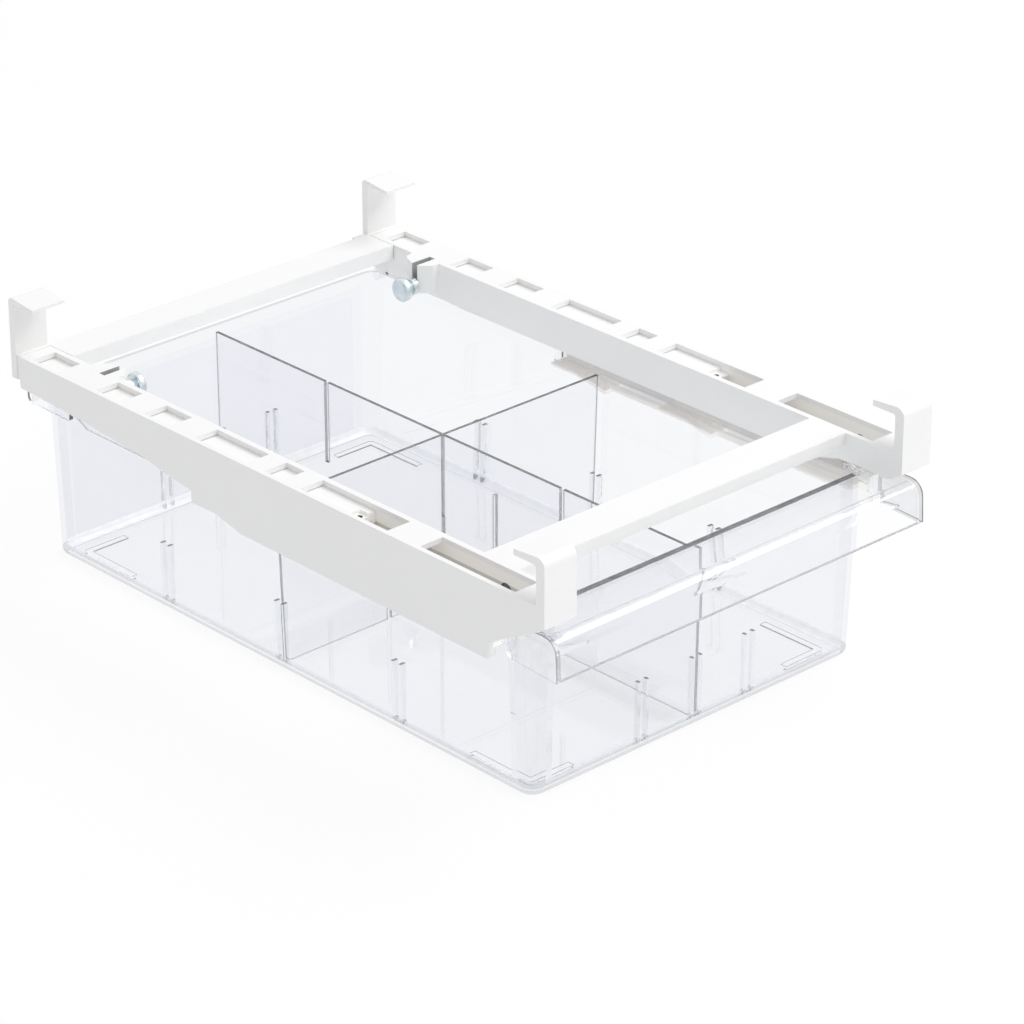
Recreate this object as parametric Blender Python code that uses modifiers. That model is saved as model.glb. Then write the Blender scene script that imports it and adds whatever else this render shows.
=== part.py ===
"""Fridge drawer organizer: a clear pull-out bin that hangs under a refrigerator shelf.

A white frame clips to the front edge of the shelf, and a white slider, which
runs inside the frame's two rails, clips to the rear edge. Two thumbscrews with
captive nuts lock the slider. The clear bin rides on ledges inside the rails,
and a long and a cross divider interlock inside the bin.

Units are metres. +X is to the object's right as seen from the front, +Y is to
the rear and +Z is up. The origin is under the middle of the object, level with
the bin's feet.
"""

import math

import bmesh
import bpy
from mathutils import Matrix, Vector

# Frame: two channel rails, open below, joined by a front bar
FRAME_WIDTH = 0.2032
RAIL_LENGTH = 0.3048
RAIL_WIDTH = 0.0159
RAIL_WEB = 0.0021
OUTER_WALL = 0.0020
INNER_WALL = 0.0024
OUTER_WALL_DEPTH = 0.0309
INNER_WALL_DEPTH = 0.0162
SLOT_MARGIN = 0.0002
RAIL_CORNER_RADIUS = 0.0012
FRONT_BAR_SETBACK = 0.0296
FRONT_BAR_WIDTH = 0.0188
FRONT_BAR_DEPTH = 0.0053
BAR_WALL = 0.0020

# Slots in a rail's top, front and rear end, as shares of the rail's length
SLOT_SHARES = (
    (0.9261, 0.9787),
    (0.7963, 0.8461),
    (0.6959, 0.7471),
    (0.5446, 0.6457),
    (0.4764, 0.5108),
    (0.2815, 0.4419),
    (0.0571, 0.2231),
)

# Lower edge of a rail's outer wall, from the rear: shares of length and depth
OUTER_EDGE_SHARES = (
    (0.9656, 0.447),
    (0.8927, 0.473),
    (0.7421, 0.573),
    (0.7021, 0.644),
    (0.6486, 0.706),
    (0.6483, 0.874),
    (0.6007, 0.867),
    (0.5522, 0.974),
    (0.0981, 1.000),
    (0.0942, 0.799),
    (0.0846, 0.709),
    (0.0702, 0.631),
    (0.0558, 0.560),
    (0.0413, 0.482),
    (0.0243, 0.395),
)
TOE_SHARES = (0.259, 0.343)

# Lower edge of a rail's inner wall near the front, in the same way
INNER_EDGE_SHARES = (
    (0.1476, 1.000),
    (0.1391, 0.901),
    (0.1079, 0.741),
    (0.0869, 0.722),
    (0.0164, 0.722),
)

# Ledges that carry the bin, each under a slot: slot number, length, ramp length
LEDGE_TOP_DEPTH = 0.0252
LEDGE_THICKNESS = 0.0018
LEDGE_WIDTH = 0.0087
LEDGE_RAMP_DROP = 0.0030
REAR_LEDGE = (3, 0.0308, 0.0170)
MIDDLE_LEDGE = (5, 0.0292, 0.0129)
FRONT_LEDGE = (6, 0.0380, 0.0020)

# Front hooks, which grip the shelf's front edge
FRONT_HOOK_PLATE = 0.0044
FRONT_HOOK_GAP = 0.0161
FRONT_HOOK_LIP = 0.0036
FRONT_HOOK_TIP = 0.0024
FRONT_HOOK_REACH = 0.0160
FRONT_HOOK_RADIUS = 0.0035
HOOK_FILLET = 0.0012

# Screw bosses on the rails' inner walls
BOSS_DEPTH = 0.0125
BOSS_REACH = 0.0077
BOSS_LENGTH = 0.0172
BOSS_RADIUS = 0.0040

# The boss in plan, as shares of its reach and its length, from the rear
BOSS_PLAN_SHARES = (
    (0.00, 0.61),
    (0.61, 0.51),
    (1.00, 0.08),
    (1.00, -0.13),
    (0.44, -0.39),
    (0.00, -0.39),
)
ROUND_BOSS_CORNER = 1

# Screws
SCREW_SETBACK = 0.0363
SCREW_DEPTH = 0.0096
SHANK_RADIUS = 0.00145
SLIT_CLEARANCE = 0.00015

# Rear slider: bar, hooks and the two arms that run inside the rails
SLIDER_TRAVEL = 0.0800
RUNNING_GAP = 0.0003
REAR_BAR_SETBACK = 0.0146
REAR_BAR_DEPTH = 0.0063
REAR_WEB = 0.0017
REAR_WEB_DEPTH = 0.0106
REAR_WEB_INSET = 0.0006
REAR_PLATE = 0.0032
REAR_HOOK_GAP = 0.0219
REAR_HOOK_LIP = 0.0027
REAR_HOOK_TIP = 0.0011
REAR_HOOK_REACH = 0.0126
REAR_HOOK_RADIUS = 0.0022
ARM_LENGTH = 0.1998
ARM_FLANGE = 0.0020
ARM_DEPTH = 0.0128
ARM_TRACK_WIDTH = 0.0030

# Clear bin
BIN_DEPTH = 0.0925
BIN_WALL = 0.0020
BIN_SIDE_DRAFT = 0.0026
BIN_FRONT_DRAFT = 0.0012
BIN_REAR_DRAFT = 0.0003
BIN_FRONT_SETBACK = 0.0211
BIN_REAR_OVERHANG = 0.0022
BIN_CORNER_RADIUS = 0.0065
BIN_BASE_RADIUS = 0.0030
RIM_UNDERLAP = 0.0034
HOOD_TOP_DEPTH = 0.0140
RIM_STEP_LENGTH = 0.0100
FLANGE_THICKNESS = 0.0020
FLANGE_SIDE_GAP = 0.0023
FLANGE_END_RADIUS = 0.0050
FLANGE_SETBACK = 0.0005
RUNNER_WIDTH = 0.0020
RUNNER_REAR_HEIGHT = 0.0050
RUNNER_NOTCH_SETBACK = 0.0253
RUNNER_NOTCH = 0.0045
RUNNER_RAMP = 0.0065
RUNNER_CORNER_RADIUS = 0.0030

# Hood across the bin's front, which is its handle
HOOD_REACH = 0.0229
HOOD_DROP = 0.0166
HOOD_WALL = 0.0022
HOOD_RADIUS = 0.0062
HOOD_LEAN = 0.0009
HOOD_END_LENGTH = 0.0272
HOOD_END_RISE = 0.0015
HOOD_END_RADIUS = 0.0045

# Guide ribs that hold the dividers, and the four feet
RIB_HEIGHT = 0.0270
RIB_WIDTH = 0.0014
RIB_PLAY = 0.0007
RIB_END_REACH = 0.0025
RIB_SIDE_REACH = 0.0040
RIB_SPACING_X = 0.0285
RIB_SIDE_SHARES = (0.748, 0.504, 0.265)
FOOT_HEIGHT = 0.0006
FOOT_WIDTH = 0.0030
FOOT_RADIUS = 0.0024
FOOT_LEG_Y = 0.0320
FOOT_LEG_X = 0.0215
FOOT_INSET_X = 0.0092
FOOT_INSET_Y = 0.0090

# Dividers
DIVIDER_THICKNESS = 0.0015
DIVIDER_TOP_DEPTH = 0.0191
DIVIDER_RADIUS = 0.0030
DIVIDER_FIT = 0.0002
CROSS_END_GAP = 0.0022
SLIT_OVERLAP = 0.0005

# Thumbscrews and nuts
HEAD_RADIUS = 0.00515
HEAD_THICKNESS = 0.0031
HEAD_CHAMFER = 0.0005
NECK_RADIUS = 0.0026
NECK_LENGTH = 0.0024
COLLAR_RADIUS = 0.0038
COLLAR_LENGTH = 0.0026
NUT_SIZE = 0.0072
NUT_THICKNESS = 0.0024
SCREW_END = 0.0008

# Making sizes: how far cutters overrun, and how finely round shapes are cut
CUT_OVERRUN = 0.0020
HALF = 0.5
ARC_STEPS = 5
ROUND_STEPS = 32
WELD_DISTANCE = 0.000001
SNAP_DIGITS = 7

# Heights
TOP = FOOT_HEIGHT + BIN_DEPTH
FLOOR_UNDERSIDE = FOOT_HEIGHT
FLOOR = FLOOR_UNDERSIDE + BIN_WALL
WEB_UNDERSIDE = TOP - RAIL_WEB
HOOD_TOP = TOP - HOOD_TOP_DEPTH
RIM = TOP - INNER_WALL_DEPTH - RUNNING_GAP
LEDGE_TOP = TOP - LEDGE_TOP_DEPTH
SCREW_HEIGHT = TOP - SCREW_DEPTH

# Places along X, for the right half
RAIL_OUTER = FRAME_WIDTH * HALF
RAIL_INNER = RAIL_OUTER - RAIL_WIDTH
CHANNEL_INNER = RAIL_INNER + INNER_WALL
CHANNEL_OUTER = RAIL_OUTER - OUTER_WALL
ARM_INNER = CHANNEL_INNER + RUNNING_GAP
ARM_OUTER = CHANNEL_OUTER - RUNNING_GAP
BIN_TOP_HALF = RAIL_INNER + RIM_UNDERLAP
FLANGE_HALF = CHANNEL_OUTER - FLANGE_SIDE_GAP
BOSS_INNER = RAIL_INNER - BOSS_REACH

# Places along Y
HOOD_PROUD = HOOD_REACH - BIN_FRONT_SETBACK
OVERALL_LENGTH = HOOD_PROUD + RAIL_LENGTH + RUNNING_GAP + REAR_WEB + REAR_PLATE
REAR = OVERALL_LENGTH * HALF
HOOD_FRONT = -REAR
FRONT = HOOD_FRONT + HOOD_PROUD
RAIL_REAR = FRONT + RAIL_LENGTH
WEB_FRONT = RAIL_REAR + RUNNING_GAP
PLATE_FRONT = WEB_FRONT + REAR_WEB
SCREW_Y = RAIL_REAR - SCREW_SETBACK
BIN_FRONT = FRONT + BIN_FRONT_SETBACK
BIN_REAR = RAIL_REAR + BIN_REAR_OVERHANG
BIN_LENGTH = BIN_REAR - BIN_FRONT

MODEL = bpy.data.collections.new("fridge_drawer_organizer")
TOOLS = bpy.data.collections.new("joining_and_cutting_shapes")


def clear_scene():
    for thing in list(bpy.data.objects):
        bpy.data.objects.remove(thing, do_unlink=True)


def material(name, colour, roughness, metallic=0.0, transmission=0.0):
    """A Principled BSDF material."""
    made = bpy.data.materials.new(name)
    made.use_nodes = True
    shader = made.node_tree.nodes["Principled BSDF"]
    shader.inputs["Base Color"].default_value = (*colour, 1.0)
    shader.inputs["Roughness"].default_value = roughness
    shader.inputs["Metallic"].default_value = metallic
    shader.inputs["Transmission Weight"].default_value = transmission
    made.diffuse_color = (*colour, 1.0)
    return made


def rounded(corners):
    """A closed outline from corners (u, v, radius), with an arc at each round one."""
    outline = []
    for index, (u, v, radius) in enumerate(corners):
        corner = Vector((u, v))
        if radius == 0:
            outline.append(corner)
            continue
        before = Vector(corners[index - 1][:2]) - corner
        after = Vector(corners[(index + 1) % len(corners)][:2]) - corner
        half_angle = before.angle(after) * HALF
        reach = radius / math.tan(half_angle)
        reach = min(reach, before.length * HALF, after.length * HALF)
        fitted = reach * math.tan(half_angle)
        middle = before.normalized() + after.normalized()
        centre = corner + middle.normalized() * (fitted / math.sin(half_angle))
        start = corner + before.normalized() * reach - centre
        end = corner + after.normalized() * reach - centre
        sweep = start.angle_signed(end)
        for step in range(ARC_STEPS + 1):
            turned = start.copy()
            turned.rotate(Matrix.Rotation(-sweep * step / ARC_STEPS, 2))
            outline.append(centre + turned)
    return outline


def add_object(name, mesh, collection):
    thing = bpy.data.objects.new(name, mesh)
    collection.objects.link(thing)
    if collection is TOOLS:
        thing.hide_render = True
        thing.display_type = "WIRE"
    return thing


# Where an outline's two directions and its thickness point
PLANES = {
    "XY": Matrix(((1, 0, 0, 0), (0, 1, 0, 0), (0, 0, 1, 0), (0, 0, 0, 1))),
    "YZ": Matrix(((0, 0, 1, 0), (1, 0, 0, 0), (0, 1, 0, 0), (0, 0, 0, 1))),
    "XZ": Matrix(((1, 0, 0, 0), (0, 0, -1, 0), (0, 1, 0, 0), (0, 0, 0, 1))),
}


def slab(name, corners, plane, low, high, collection=None):
    """A flat outline, drawn as a filled 2D curve and made thick from low to high."""
    curve = bpy.data.curves.new(name, "CURVE")
    curve.dimensions = "2D"
    curve.fill_mode = "BOTH"
    curve.extrude = (high - low) * HALF
    outline = rounded(corners)
    spline = curve.splines.new("POLY")
    spline.points.add(len(outline) - 1)
    for point, (u, v) in zip(spline.points, outline):
        point.co = (u, v, 0.0, 1.0)
    spline.use_cyclic_u = True
    drawing = bpy.data.objects.new(name + "_outline", curve)
    bpy.context.scene.collection.objects.link(drawing)
    middle = (high + low) * HALF
    if plane == "XZ":
        middle = -middle
    drawing.matrix_world = PLANES[plane] @ Matrix.Translation((0, 0, middle))
    graph = bpy.context.evaluated_depsgraph_get()
    mesh = bpy.data.meshes.new_from_object(drawing.evaluated_get(graph))
    mesh.transform(drawing.matrix_world)
    bpy.data.objects.remove(drawing, do_unlink=True)
    bpy.data.curves.remove(curve)
    weld(mesh)
    return add_object(name, mesh, collection or TOOLS)


def snap(work):
    """Round each place, so that faces meant to lie in one plane do so exactly."""
    for vertex in work.verts:
        vertex.co = [round(value, SNAP_DIGITS) for value in vertex.co]


def weld(mesh):
    """Merge the loose caps of a mesh and turn its faces outwards."""
    work = bmesh.new()
    work.from_mesh(mesh)
    bmesh.ops.remove_doubles(work, verts=work.verts, dist=WELD_DISTANCE)
    bmesh.ops.recalc_face_normals(work, faces=work.faces)
    snap(work)
    work.to_mesh(mesh)
    work.free()


def box(name, low, high, collection=None):
    """A cube stretched between two corners."""
    mesh = bpy.data.meshes.new(name)
    work = bmesh.new()
    bmesh.ops.create_cube(work, size=1)
    size = Vector(high) - Vector(low)
    middle = (Vector(high) + Vector(low)) * HALF
    bmesh.ops.scale(work, vec=size, verts=work.verts)
    bmesh.ops.translate(work, vec=middle, verts=work.verts)
    snap(work)
    work.to_mesh(mesh)
    work.free()
    return add_object(name, mesh, collection or TOOLS)


def combine(piece, tool, operation):
    change = piece.modifiers.new(tool.name, "BOOLEAN")
    change.solver = "EXACT"
    change.operation = operation
    change.object = tool


def join(piece, tool):
    combine(piece, tool, "UNION")


def cut(piece, tool):
    combine(piece, tool, "DIFFERENCE")


def mirror(piece):
    """Cut the piece at the middle plane and reflect its right half."""
    change = piece.modifiers.new("both_sides", "MIRROR")
    change.use_bisect_axis[0] = True
    change.use_bisect_flip_axis[0] = False
    change.merge_threshold = WELD_DISTANCE
    change.bisect_threshold = WELD_DISTANCE


def plain(points):
    """Outline corners without rounding."""
    return [(u, v, 0) for u, v in points]


def edge_points(shares, depth):
    """A rail's lower edge from shares of the rail's length and the wall's depth."""
    return [(FRONT + RAIL_LENGTH * along, TOP - depth * down) for along, down in shares]


def rail_block():
    """The right rail before its channel is cut, with its front hook."""
    hook_back = FRONT + FRONT_HOOK_PLATE
    underside = TOP + FRONT_HOOK_GAP
    tip = FRONT + FRONT_HOOK_REACH
    corners = [
        (FRONT, underside + FRONT_HOOK_LIP, FRONT_HOOK_RADIUS),
        (tip, underside + FRONT_HOOK_TIP, 0),
        (tip, underside, 0),
        (hook_back, underside, HOOK_FILLET),
        (hook_back, TOP, HOOK_FILLET),
        (RAIL_REAR, TOP, 0),
        (RAIL_REAR, TOP - OUTER_WALL_DEPTH * OUTER_EDGE_SHARES[0][1], RAIL_CORNER_RADIUS),
    ]
    corners += plain(edge_points(OUTER_EDGE_SHARES, OUTER_WALL_DEPTH))
    corners.append((hook_back, TOP - OUTER_WALL_DEPTH * TOE_SHARES[1], 0))
    corners.append((FRONT, TOP - OUTER_WALL_DEPTH * TOE_SHARES[0], 0))
    return slab("front_frame", corners, "YZ", RAIL_INNER, RAIL_OUTER, MODEL)


def channel():
    """The space inside a rail, open below and behind."""
    low = (CHANNEL_INNER, FRONT + FRONT_HOOK_PLATE, TOP - OUTER_WALL_DEPTH - CUT_OVERRUN)
    return box("channel", low, (CHANNEL_OUTER, RAIL_REAR + CUT_OVERRUN, WEB_UNDERSIDE))


def below_inner_wall():
    """What is cut away so that a rail's inner wall is lower at the front."""
    under = TOP - OUTER_WALL_DEPTH - CUT_OVERRUN
    front = FRONT + FRONT_HOOK_PLATE + WELD_DISTANCE
    rear = RAIL_REAR + CUT_OVERRUN
    corners = [(front, under, 0), (rear, under, 0), (rear, TOP - INNER_WALL_DEPTH, 0)]
    corners += plain(edge_points(INNER_EDGE_SHARES, INNER_WALL_DEPTH))
    middle = (CHANNEL_INNER + CHANNEL_OUTER) * HALF
    return slab("below_inner_wall", corners, "YZ", RAIL_INNER - CUT_OVERRUN, middle)


def slot_ends(number):
    front, rear = SLOT_SHARES[number]
    return FRONT + RAIL_LENGTH * front, FRONT + RAIL_LENGTH * rear


def ledge(name, slot, length, ramp):
    """A ledge under a slot, level behind and ramped down at its front end."""
    rear = slot_ends(slot)[1]
    front = rear - length
    turn = front + ramp
    under = LEDGE_TOP - LEDGE_THICKNESS
    drop = LEDGE_RAMP_DROP * ramp / REAR_LEDGE[2]
    points = [
        (rear, LEDGE_TOP),
        (turn, LEDGE_TOP),
        (front, LEDGE_TOP - drop),
        (front, under - drop),
        (turn, under),
        (rear, under),
    ]
    inner = CHANNEL_OUTER - LEDGE_WIDTH
    return slab(name, plain(points), "YZ", inner, CHANNEL_OUTER + OUTER_WALL * HALF)


def front_bar():
    """The bar between the rails near the front, a channel open below."""
    front = FRONT + FRONT_BAR_SETBACK
    rear = front + FRONT_BAR_WIDTH
    bottom = TOP - FRONT_BAR_DEPTH
    points = [
        (front, TOP),
        (rear, TOP),
        (rear, bottom),
        (rear - BAR_WALL, bottom),
        (rear - BAR_WALL, WEB_UNDERSIDE),
        (front + BAR_WALL, WEB_UNDERSIDE),
        (front + BAR_WALL, bottom),
        (front, bottom),
    ]
    return slab("front_bar", plain(points), "YZ", -CUT_OVERRUN, RAIL_INNER + INNER_WALL * HALF)


def screw_boss():
    corners = []
    for index, (inward, along) in enumerate(BOSS_PLAN_SHARES):
        u = RAIL_INNER - BOSS_REACH * inward if inward else RAIL_INNER + INNER_WALL * HALF
        radius = BOSS_RADIUS if index == ROUND_BOSS_CORNER else 0
        corners.append((u, SCREW_Y + BOSS_LENGTH * along, radius))
    return slab("screw_boss", corners, "XY", TOP - BOSS_DEPTH, TOP)


def screw_slit():
    """The slit that the screw drops into, open at the top of the boss."""
    radius = SHANK_RADIUS + SLIT_CLEARANCE
    top = TOP + CUT_OVERRUN
    corners = [
        (SCREW_Y - radius, top, 0),
        (SCREW_Y - radius, SCREW_HEIGHT - radius, radius),
        (SCREW_Y + radius, SCREW_HEIGHT - radius, radius),
        (SCREW_Y + radius, top, 0),
    ]
    return slab("screw_slit", corners, "YZ", BOSS_INNER - CUT_OVERRUN, CHANNEL_INNER + SLOT_MARGIN)


def make_front_frame(white):
    """Both rails, the front bar, the front hooks, the bosses and the ledges."""
    frame = rail_block()
    cut(frame, channel())
    cut(frame, below_inner_wall())
    join(frame, ledge("rear_ledge", *REAR_LEDGE))
    join(frame, ledge("middle_ledge", *MIDDLE_LEDGE))
    join(frame, ledge("front_ledge", *FRONT_LEDGE))
    join(frame, front_bar())
    join(frame, screw_boss())
    cut(frame, screw_slit())
    for number in range(len(SLOT_SHARES)):
        front, rear = slot_ends(number)
        low = (CHANNEL_INNER + SLOT_MARGIN, front, WEB_UNDERSIDE - CUT_OVERRUN)
        high = (CHANNEL_OUTER - SLOT_MARGIN, rear, TOP + CUT_OVERRUN)
        cut(frame, box("slot_%d" % number, low, high))
    mirror(frame)
    frame.data.materials.append(white)
    return frame


def rear_bar():
    """The bar between the rails at the rear, a channel open below."""
    front = RAIL_REAR - REAR_BAR_SETBACK
    bottom = TOP - REAR_BAR_DEPTH
    web_bottom = TOP - REAR_WEB_DEPTH
    points = [
        (front, TOP),
        (PLATE_FRONT, TOP),
        (PLATE_FRONT, web_bottom),
        (WEB_FRONT, web_bottom),
        (WEB_FRONT, WEB_UNDERSIDE),
        (front + BAR_WALL, WEB_UNDERSIDE),
        (front + BAR_WALL, bottom),
        (front, bottom),
    ]
    return slab("rear_slider", plain(points), "YZ", -CUT_OVERRUN, RAIL_INNER - RUNNING_GAP, MODEL)


def rear_hook():
    front = PLATE_FRONT
    back = PLATE_FRONT + REAR_PLATE
    underside = TOP + REAR_HOOK_GAP
    crown = underside + REAR_HOOK_LIP
    tip = front - REAR_HOOK_REACH
    corners = [
        (back, TOP - REAR_WEB_DEPTH, 0),
        (back, crown, REAR_HOOK_RADIUS),
        (tip, underside + REAR_HOOK_TIP, 0),
        (tip, underside, 0),
        (front, underside, HOOK_FILLET),
        (front, TOP - REAR_WEB_DEPTH, 0),
    ]
    return slab("rear_hook", corners, "YZ", RAIL_INNER, RAIL_OUTER)


def arm():
    """One arm: a C section whose open side holds the nut."""
    top = WEB_UNDERSIDE - RUNNING_GAP
    bottom = top - ARM_DEPTH
    flange_under = top - ARM_FLANGE
    track = ARM_INNER + ARM_FLANGE
    track_end = track + ARM_TRACK_WIDTH
    nut_room = NUT_SIZE * HALF + RUNNING_GAP
    points = [
        (ARM_INNER, top),
        (ARM_OUTER, top),
        (ARM_OUTER, flange_under),
        (track_end, flange_under),
        (track_end, SCREW_HEIGHT + nut_room),
        (track, SCREW_HEIGHT + nut_room),
        (track, SCREW_HEIGHT - nut_room),
        (track_end, SCREW_HEIGHT - nut_room),
        (track_end, bottom),
        (ARM_INNER, bottom),
    ]
    rear = WEB_FRONT + REAR_WEB * HALF
    return slab("arm", plain(points), "XZ", RAIL_REAR - ARM_LENGTH, rear)


def arm_slot():
    """The long slot in the arm that the screw passes through."""
    radius = SHANK_RADIUS + RUNNING_GAP
    rear = SCREW_Y + radius + RUNNING_GAP
    front = SCREW_Y - SLIDER_TRAVEL - radius - RUNNING_GAP
    corners = [
        (front, SCREW_HEIGHT - radius, radius),
        (rear, SCREW_HEIGHT - radius, radius),
        (rear, SCREW_HEIGHT + radius, radius),
        (front, SCREW_HEIGHT + radius, radius),
    ]
    return slab(
        "arm_slot", corners, "YZ", ARM_INNER - CUT_OVERRUN, ARM_INNER + ARM_FLANGE + SLOT_MARGIN
    )


def make_rear_slider(white):
    """The rear bar, both rear hooks and both arms."""
    slider = rear_bar()
    web_low = (RAIL_INNER - REAR_BAR_SETBACK * HALF, WEB_FRONT, TOP - REAR_WEB_DEPTH)
    web_high = (RAIL_OUTER - REAR_WEB_INSET, PLATE_FRONT + REAR_PLATE * HALF, TOP)
    join(slider, box("rear_web", web_low, web_high))
    join(slider, rear_hook())
    join(slider, arm())
    cut(slider, arm_slot())
    mirror(slider)
    slider.data.materials.append(white)
    return slider


def bin_shell():
    """An open box with sloping walls, round corners and an even wall."""
    mesh = bpy.data.meshes.new("drawer_bin")
    work = bmesh.new()
    bmesh.ops.create_cube(work, size=1)
    height = HOOD_TOP - FLOOR_UNDERSIDE
    size = Vector((BIN_TOP_HALF + BIN_TOP_HALF, BIN_LENGTH, height))
    middle = Vector((0, (BIN_FRONT + BIN_REAR) * HALF, FLOOR_UNDERSIDE + height * HALF))
    bmesh.ops.scale(work, vec=size, verts=work.verts)
    bmesh.ops.translate(work, vec=middle, verts=work.verts)
    for vertex in work.verts:
        if vertex.co.z < middle.z:
            vertex.co.x -= math.copysign(BIN_SIDE_DRAFT, vertex.co.x)
            vertex.co.y += BIN_FRONT_DRAFT if vertex.co.y < middle.y else -BIN_REAR_DRAFT
    lid = [face for face in work.faces if face.normal.z > HALF]
    bmesh.ops.delete(work, geom=lid, context="FACES_ONLY")
    uprights = [
        edge for edge in work.edges
        if abs(edge.verts[0].co.z - edge.verts[1].co.z) > height * HALF
    ]
    bmesh.ops.bevel(
        work, geom=uprights, offset=BIN_CORNER_RADIUS, segments=ARC_STEPS, profile=HALF, affect="EDGES"
    )
    low = FLOOR_UNDERSIDE + WELD_DISTANCE
    base = [edge for edge in work.edges if max(end.co.z for end in edge.verts) < low]
    bmesh.ops.bevel(
        work, geom=base, offset=BIN_BASE_RADIUS, segments=ARC_STEPS, profile=HALF, affect="EDGES"
    )
    bmesh.ops.recalc_face_normals(work, faces=work.faces)
    if sum(face.normal.z * face.calc_area() for face in work.faces) > 0:
        bmesh.ops.reverse_faces(work, faces=work.faces)
    work.to_mesh(mesh)
    work.free()
    shell = add_object("drawer_bin", mesh, MODEL)
    wall = shell.modifiers.new("wall", "SOLIDIFY")
    wall.thickness = BIN_WALL
    wall.offset = -1
    wall.use_even_offset = True
    return shell


def runner():
    """The flange beside the bin's rim, with the lip that rides on the ledges."""
    low_x = BIN_TOP_HALF - BIN_WALL * HALF
    high_x = FLANGE_HALF - RUNNING_GAP
    hood_rear = HOOD_FRONT + HOOD_END_LENGTH
    flange_under = RIM - FLANGE_THICKNESS
    light = RIM - RUNNER_REAR_HEIGHT
    deep = LEDGE_TOP + RUNNING_GAP
    rear = BIN_REAR - FLANGE_SETBACK
    notch = RAIL_REAR - RUNNER_NOTCH_SETBACK
    ramp = notch - RUNNER_NOTCH
    first_ledge = slot_ends(REAR_LEDGE[0])[1]
    corners = [
        (hood_rear - HOOD_WALL, HOOD_TOP - HOOD_WALL * HALF, 0),
        (hood_rear - RUNNING_GAP, HOOD_TOP - HOOD_WALL * HALF, 0),
        (hood_rear - RUNNING_GAP, RIM, 0),
        (rear, RIM, 0),
        (rear, light, RUNNER_CORNER_RADIUS),
        (notch, light, RUNNER_WIDTH * HALF),
        (notch, flange_under, 0),
        (ramp, flange_under, 0),
        (ramp - RUNNER_RAMP, light, RUNNER_CORNER_RADIUS),
        (first_ledge, light, 0),
        (first_ledge, deep, 0),
        (hood_rear - HOOD_WALL, deep, 0),
    ]
    lip = slab("runner", corners, "YZ", low_x, high_x)
    hollow_low = (low_x - CUT_OVERRUN, hood_rear - HOOD_WALL - CUT_OVERRUN, deep - CUT_OVERRUN)
    hollow_high = (high_x - RUNNER_WIDTH, rear - RUNNER_WIDTH, flange_under)
    cut(lip, box("runner_hollow", hollow_low, hollow_high))
    plan = [
        (low_x - CUT_OVERRUN, rear + CUT_OVERRUN, 0),
        (high_x + CUT_OVERRUN, rear + CUT_OVERRUN, FLANGE_END_RADIUS),
        (high_x + CUT_OVERRUN, BIN_FRONT - CUT_OVERRUN, 0),
        (low_x - CUT_OVERRUN, BIN_FRONT - CUT_OVERRUN, 0),
    ]
    combine(lip, slab("runner_plan", plan, "XY", FLOOR, TOP), "INTERSECT")
    return lip


def hood():
    """The hood: level on top, turned down over the front and closed at its ends."""
    front = HOOD_FRONT
    bend = front + HOOD_LEAN
    bottom = HOOD_TOP - HOOD_DROP
    rear = front + HOOD_END_LENGTH
    under = HOOD_TOP - HOOD_WALL
    outside = [
        (rear, HOOD_TOP, 0),
        (bend, HOOD_TOP, HOOD_RADIUS),
        (front, bottom, 0),
        (rear, bottom + HOOD_END_RISE, HOOD_END_RADIUS),
    ]
    inside = [
        (rear + CUT_OVERRUN, under, 0),
        (bend + HOOD_WALL, under, HOOD_RADIUS - HOOD_WALL),
        (front + HOOD_WALL, bottom - CUT_OVERRUN, 0),
        (rear + CUT_OVERRUN, bottom - CUT_OVERRUN, 0),
    ]
    cover = slab("hood", outside, "YZ", -CUT_OVERRUN, FLANGE_HALF)
    cut(cover, slab("hood_hollow", inside, "YZ", -HOOD_WALL, FLANGE_HALF - HOOD_WALL))
    wall_middle = BIN_WALL * HALF
    room_radius = BIN_CORNER_RADIUS - wall_middle
    room = [
        (-HOOD_WALL, BIN_FRONT + wall_middle, 0),
        (BIN_TOP_HALF - wall_middle, BIN_FRONT + wall_middle, room_radius),
        (BIN_TOP_HALF - wall_middle, BIN_REAR, 0),
        (-HOOD_WALL, BIN_REAR, 0),
    ]
    cut(cover, slab("bin_room", room, "XY", FLOOR, TOP))
    return cover


def rib(name, low_x, high_x, low_y, high_y):
    base = FLOOR - BIN_WALL * HALF
    return box(name, (low_x, low_y, base), (high_x, high_y, FLOOR + RIB_HEIGHT))


def rib_pair(middle):
    """Where the two ribs beside a divider start and end, each as (tag, low, high)."""
    near = DIVIDER_THICKNESS * HALF + RIB_PLAY
    far = near + RIB_WIDTH
    return (("low", middle - far, middle - near), ("high", middle + near, middle + far))


def add_ribs(shell):
    """Pairs of ribs at each divider's end: on the front, rear and side walls."""
    wall_middle = BIN_WALL * HALF
    side_wall = BIN_TOP_HALF - BIN_SIDE_DRAFT - wall_middle
    front_wall = BIN_FRONT + BIN_FRONT_DRAFT + wall_middle
    rear_wall = BIN_REAR - BIN_REAR_DRAFT - wall_middle
    for column, middle in enumerate((0, RIB_SPACING_X)):
        for tag, low, high in rib_pair(middle):
            if high < 0:
                continue
            label = "%d_%s" % (column, tag)
            front_end = front_wall + wall_middle + RIB_END_REACH
            rear_end = rear_wall - wall_middle - RIB_END_REACH
            join(shell, rib("front_rib_" + label, low, high, front_wall, front_end))
            join(shell, rib("rear_rib_" + label, low, high, rear_end, rear_wall))
    for row, share in enumerate(RIB_SIDE_SHARES):
        inner = side_wall - wall_middle - RIB_SIDE_REACH
        for tag, low, high in rib_pair(BIN_FRONT + BIN_LENGTH * share):
            join(shell, rib("side_rib_%d_%s" % (row, tag), inner, side_wall, low, high))


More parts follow.
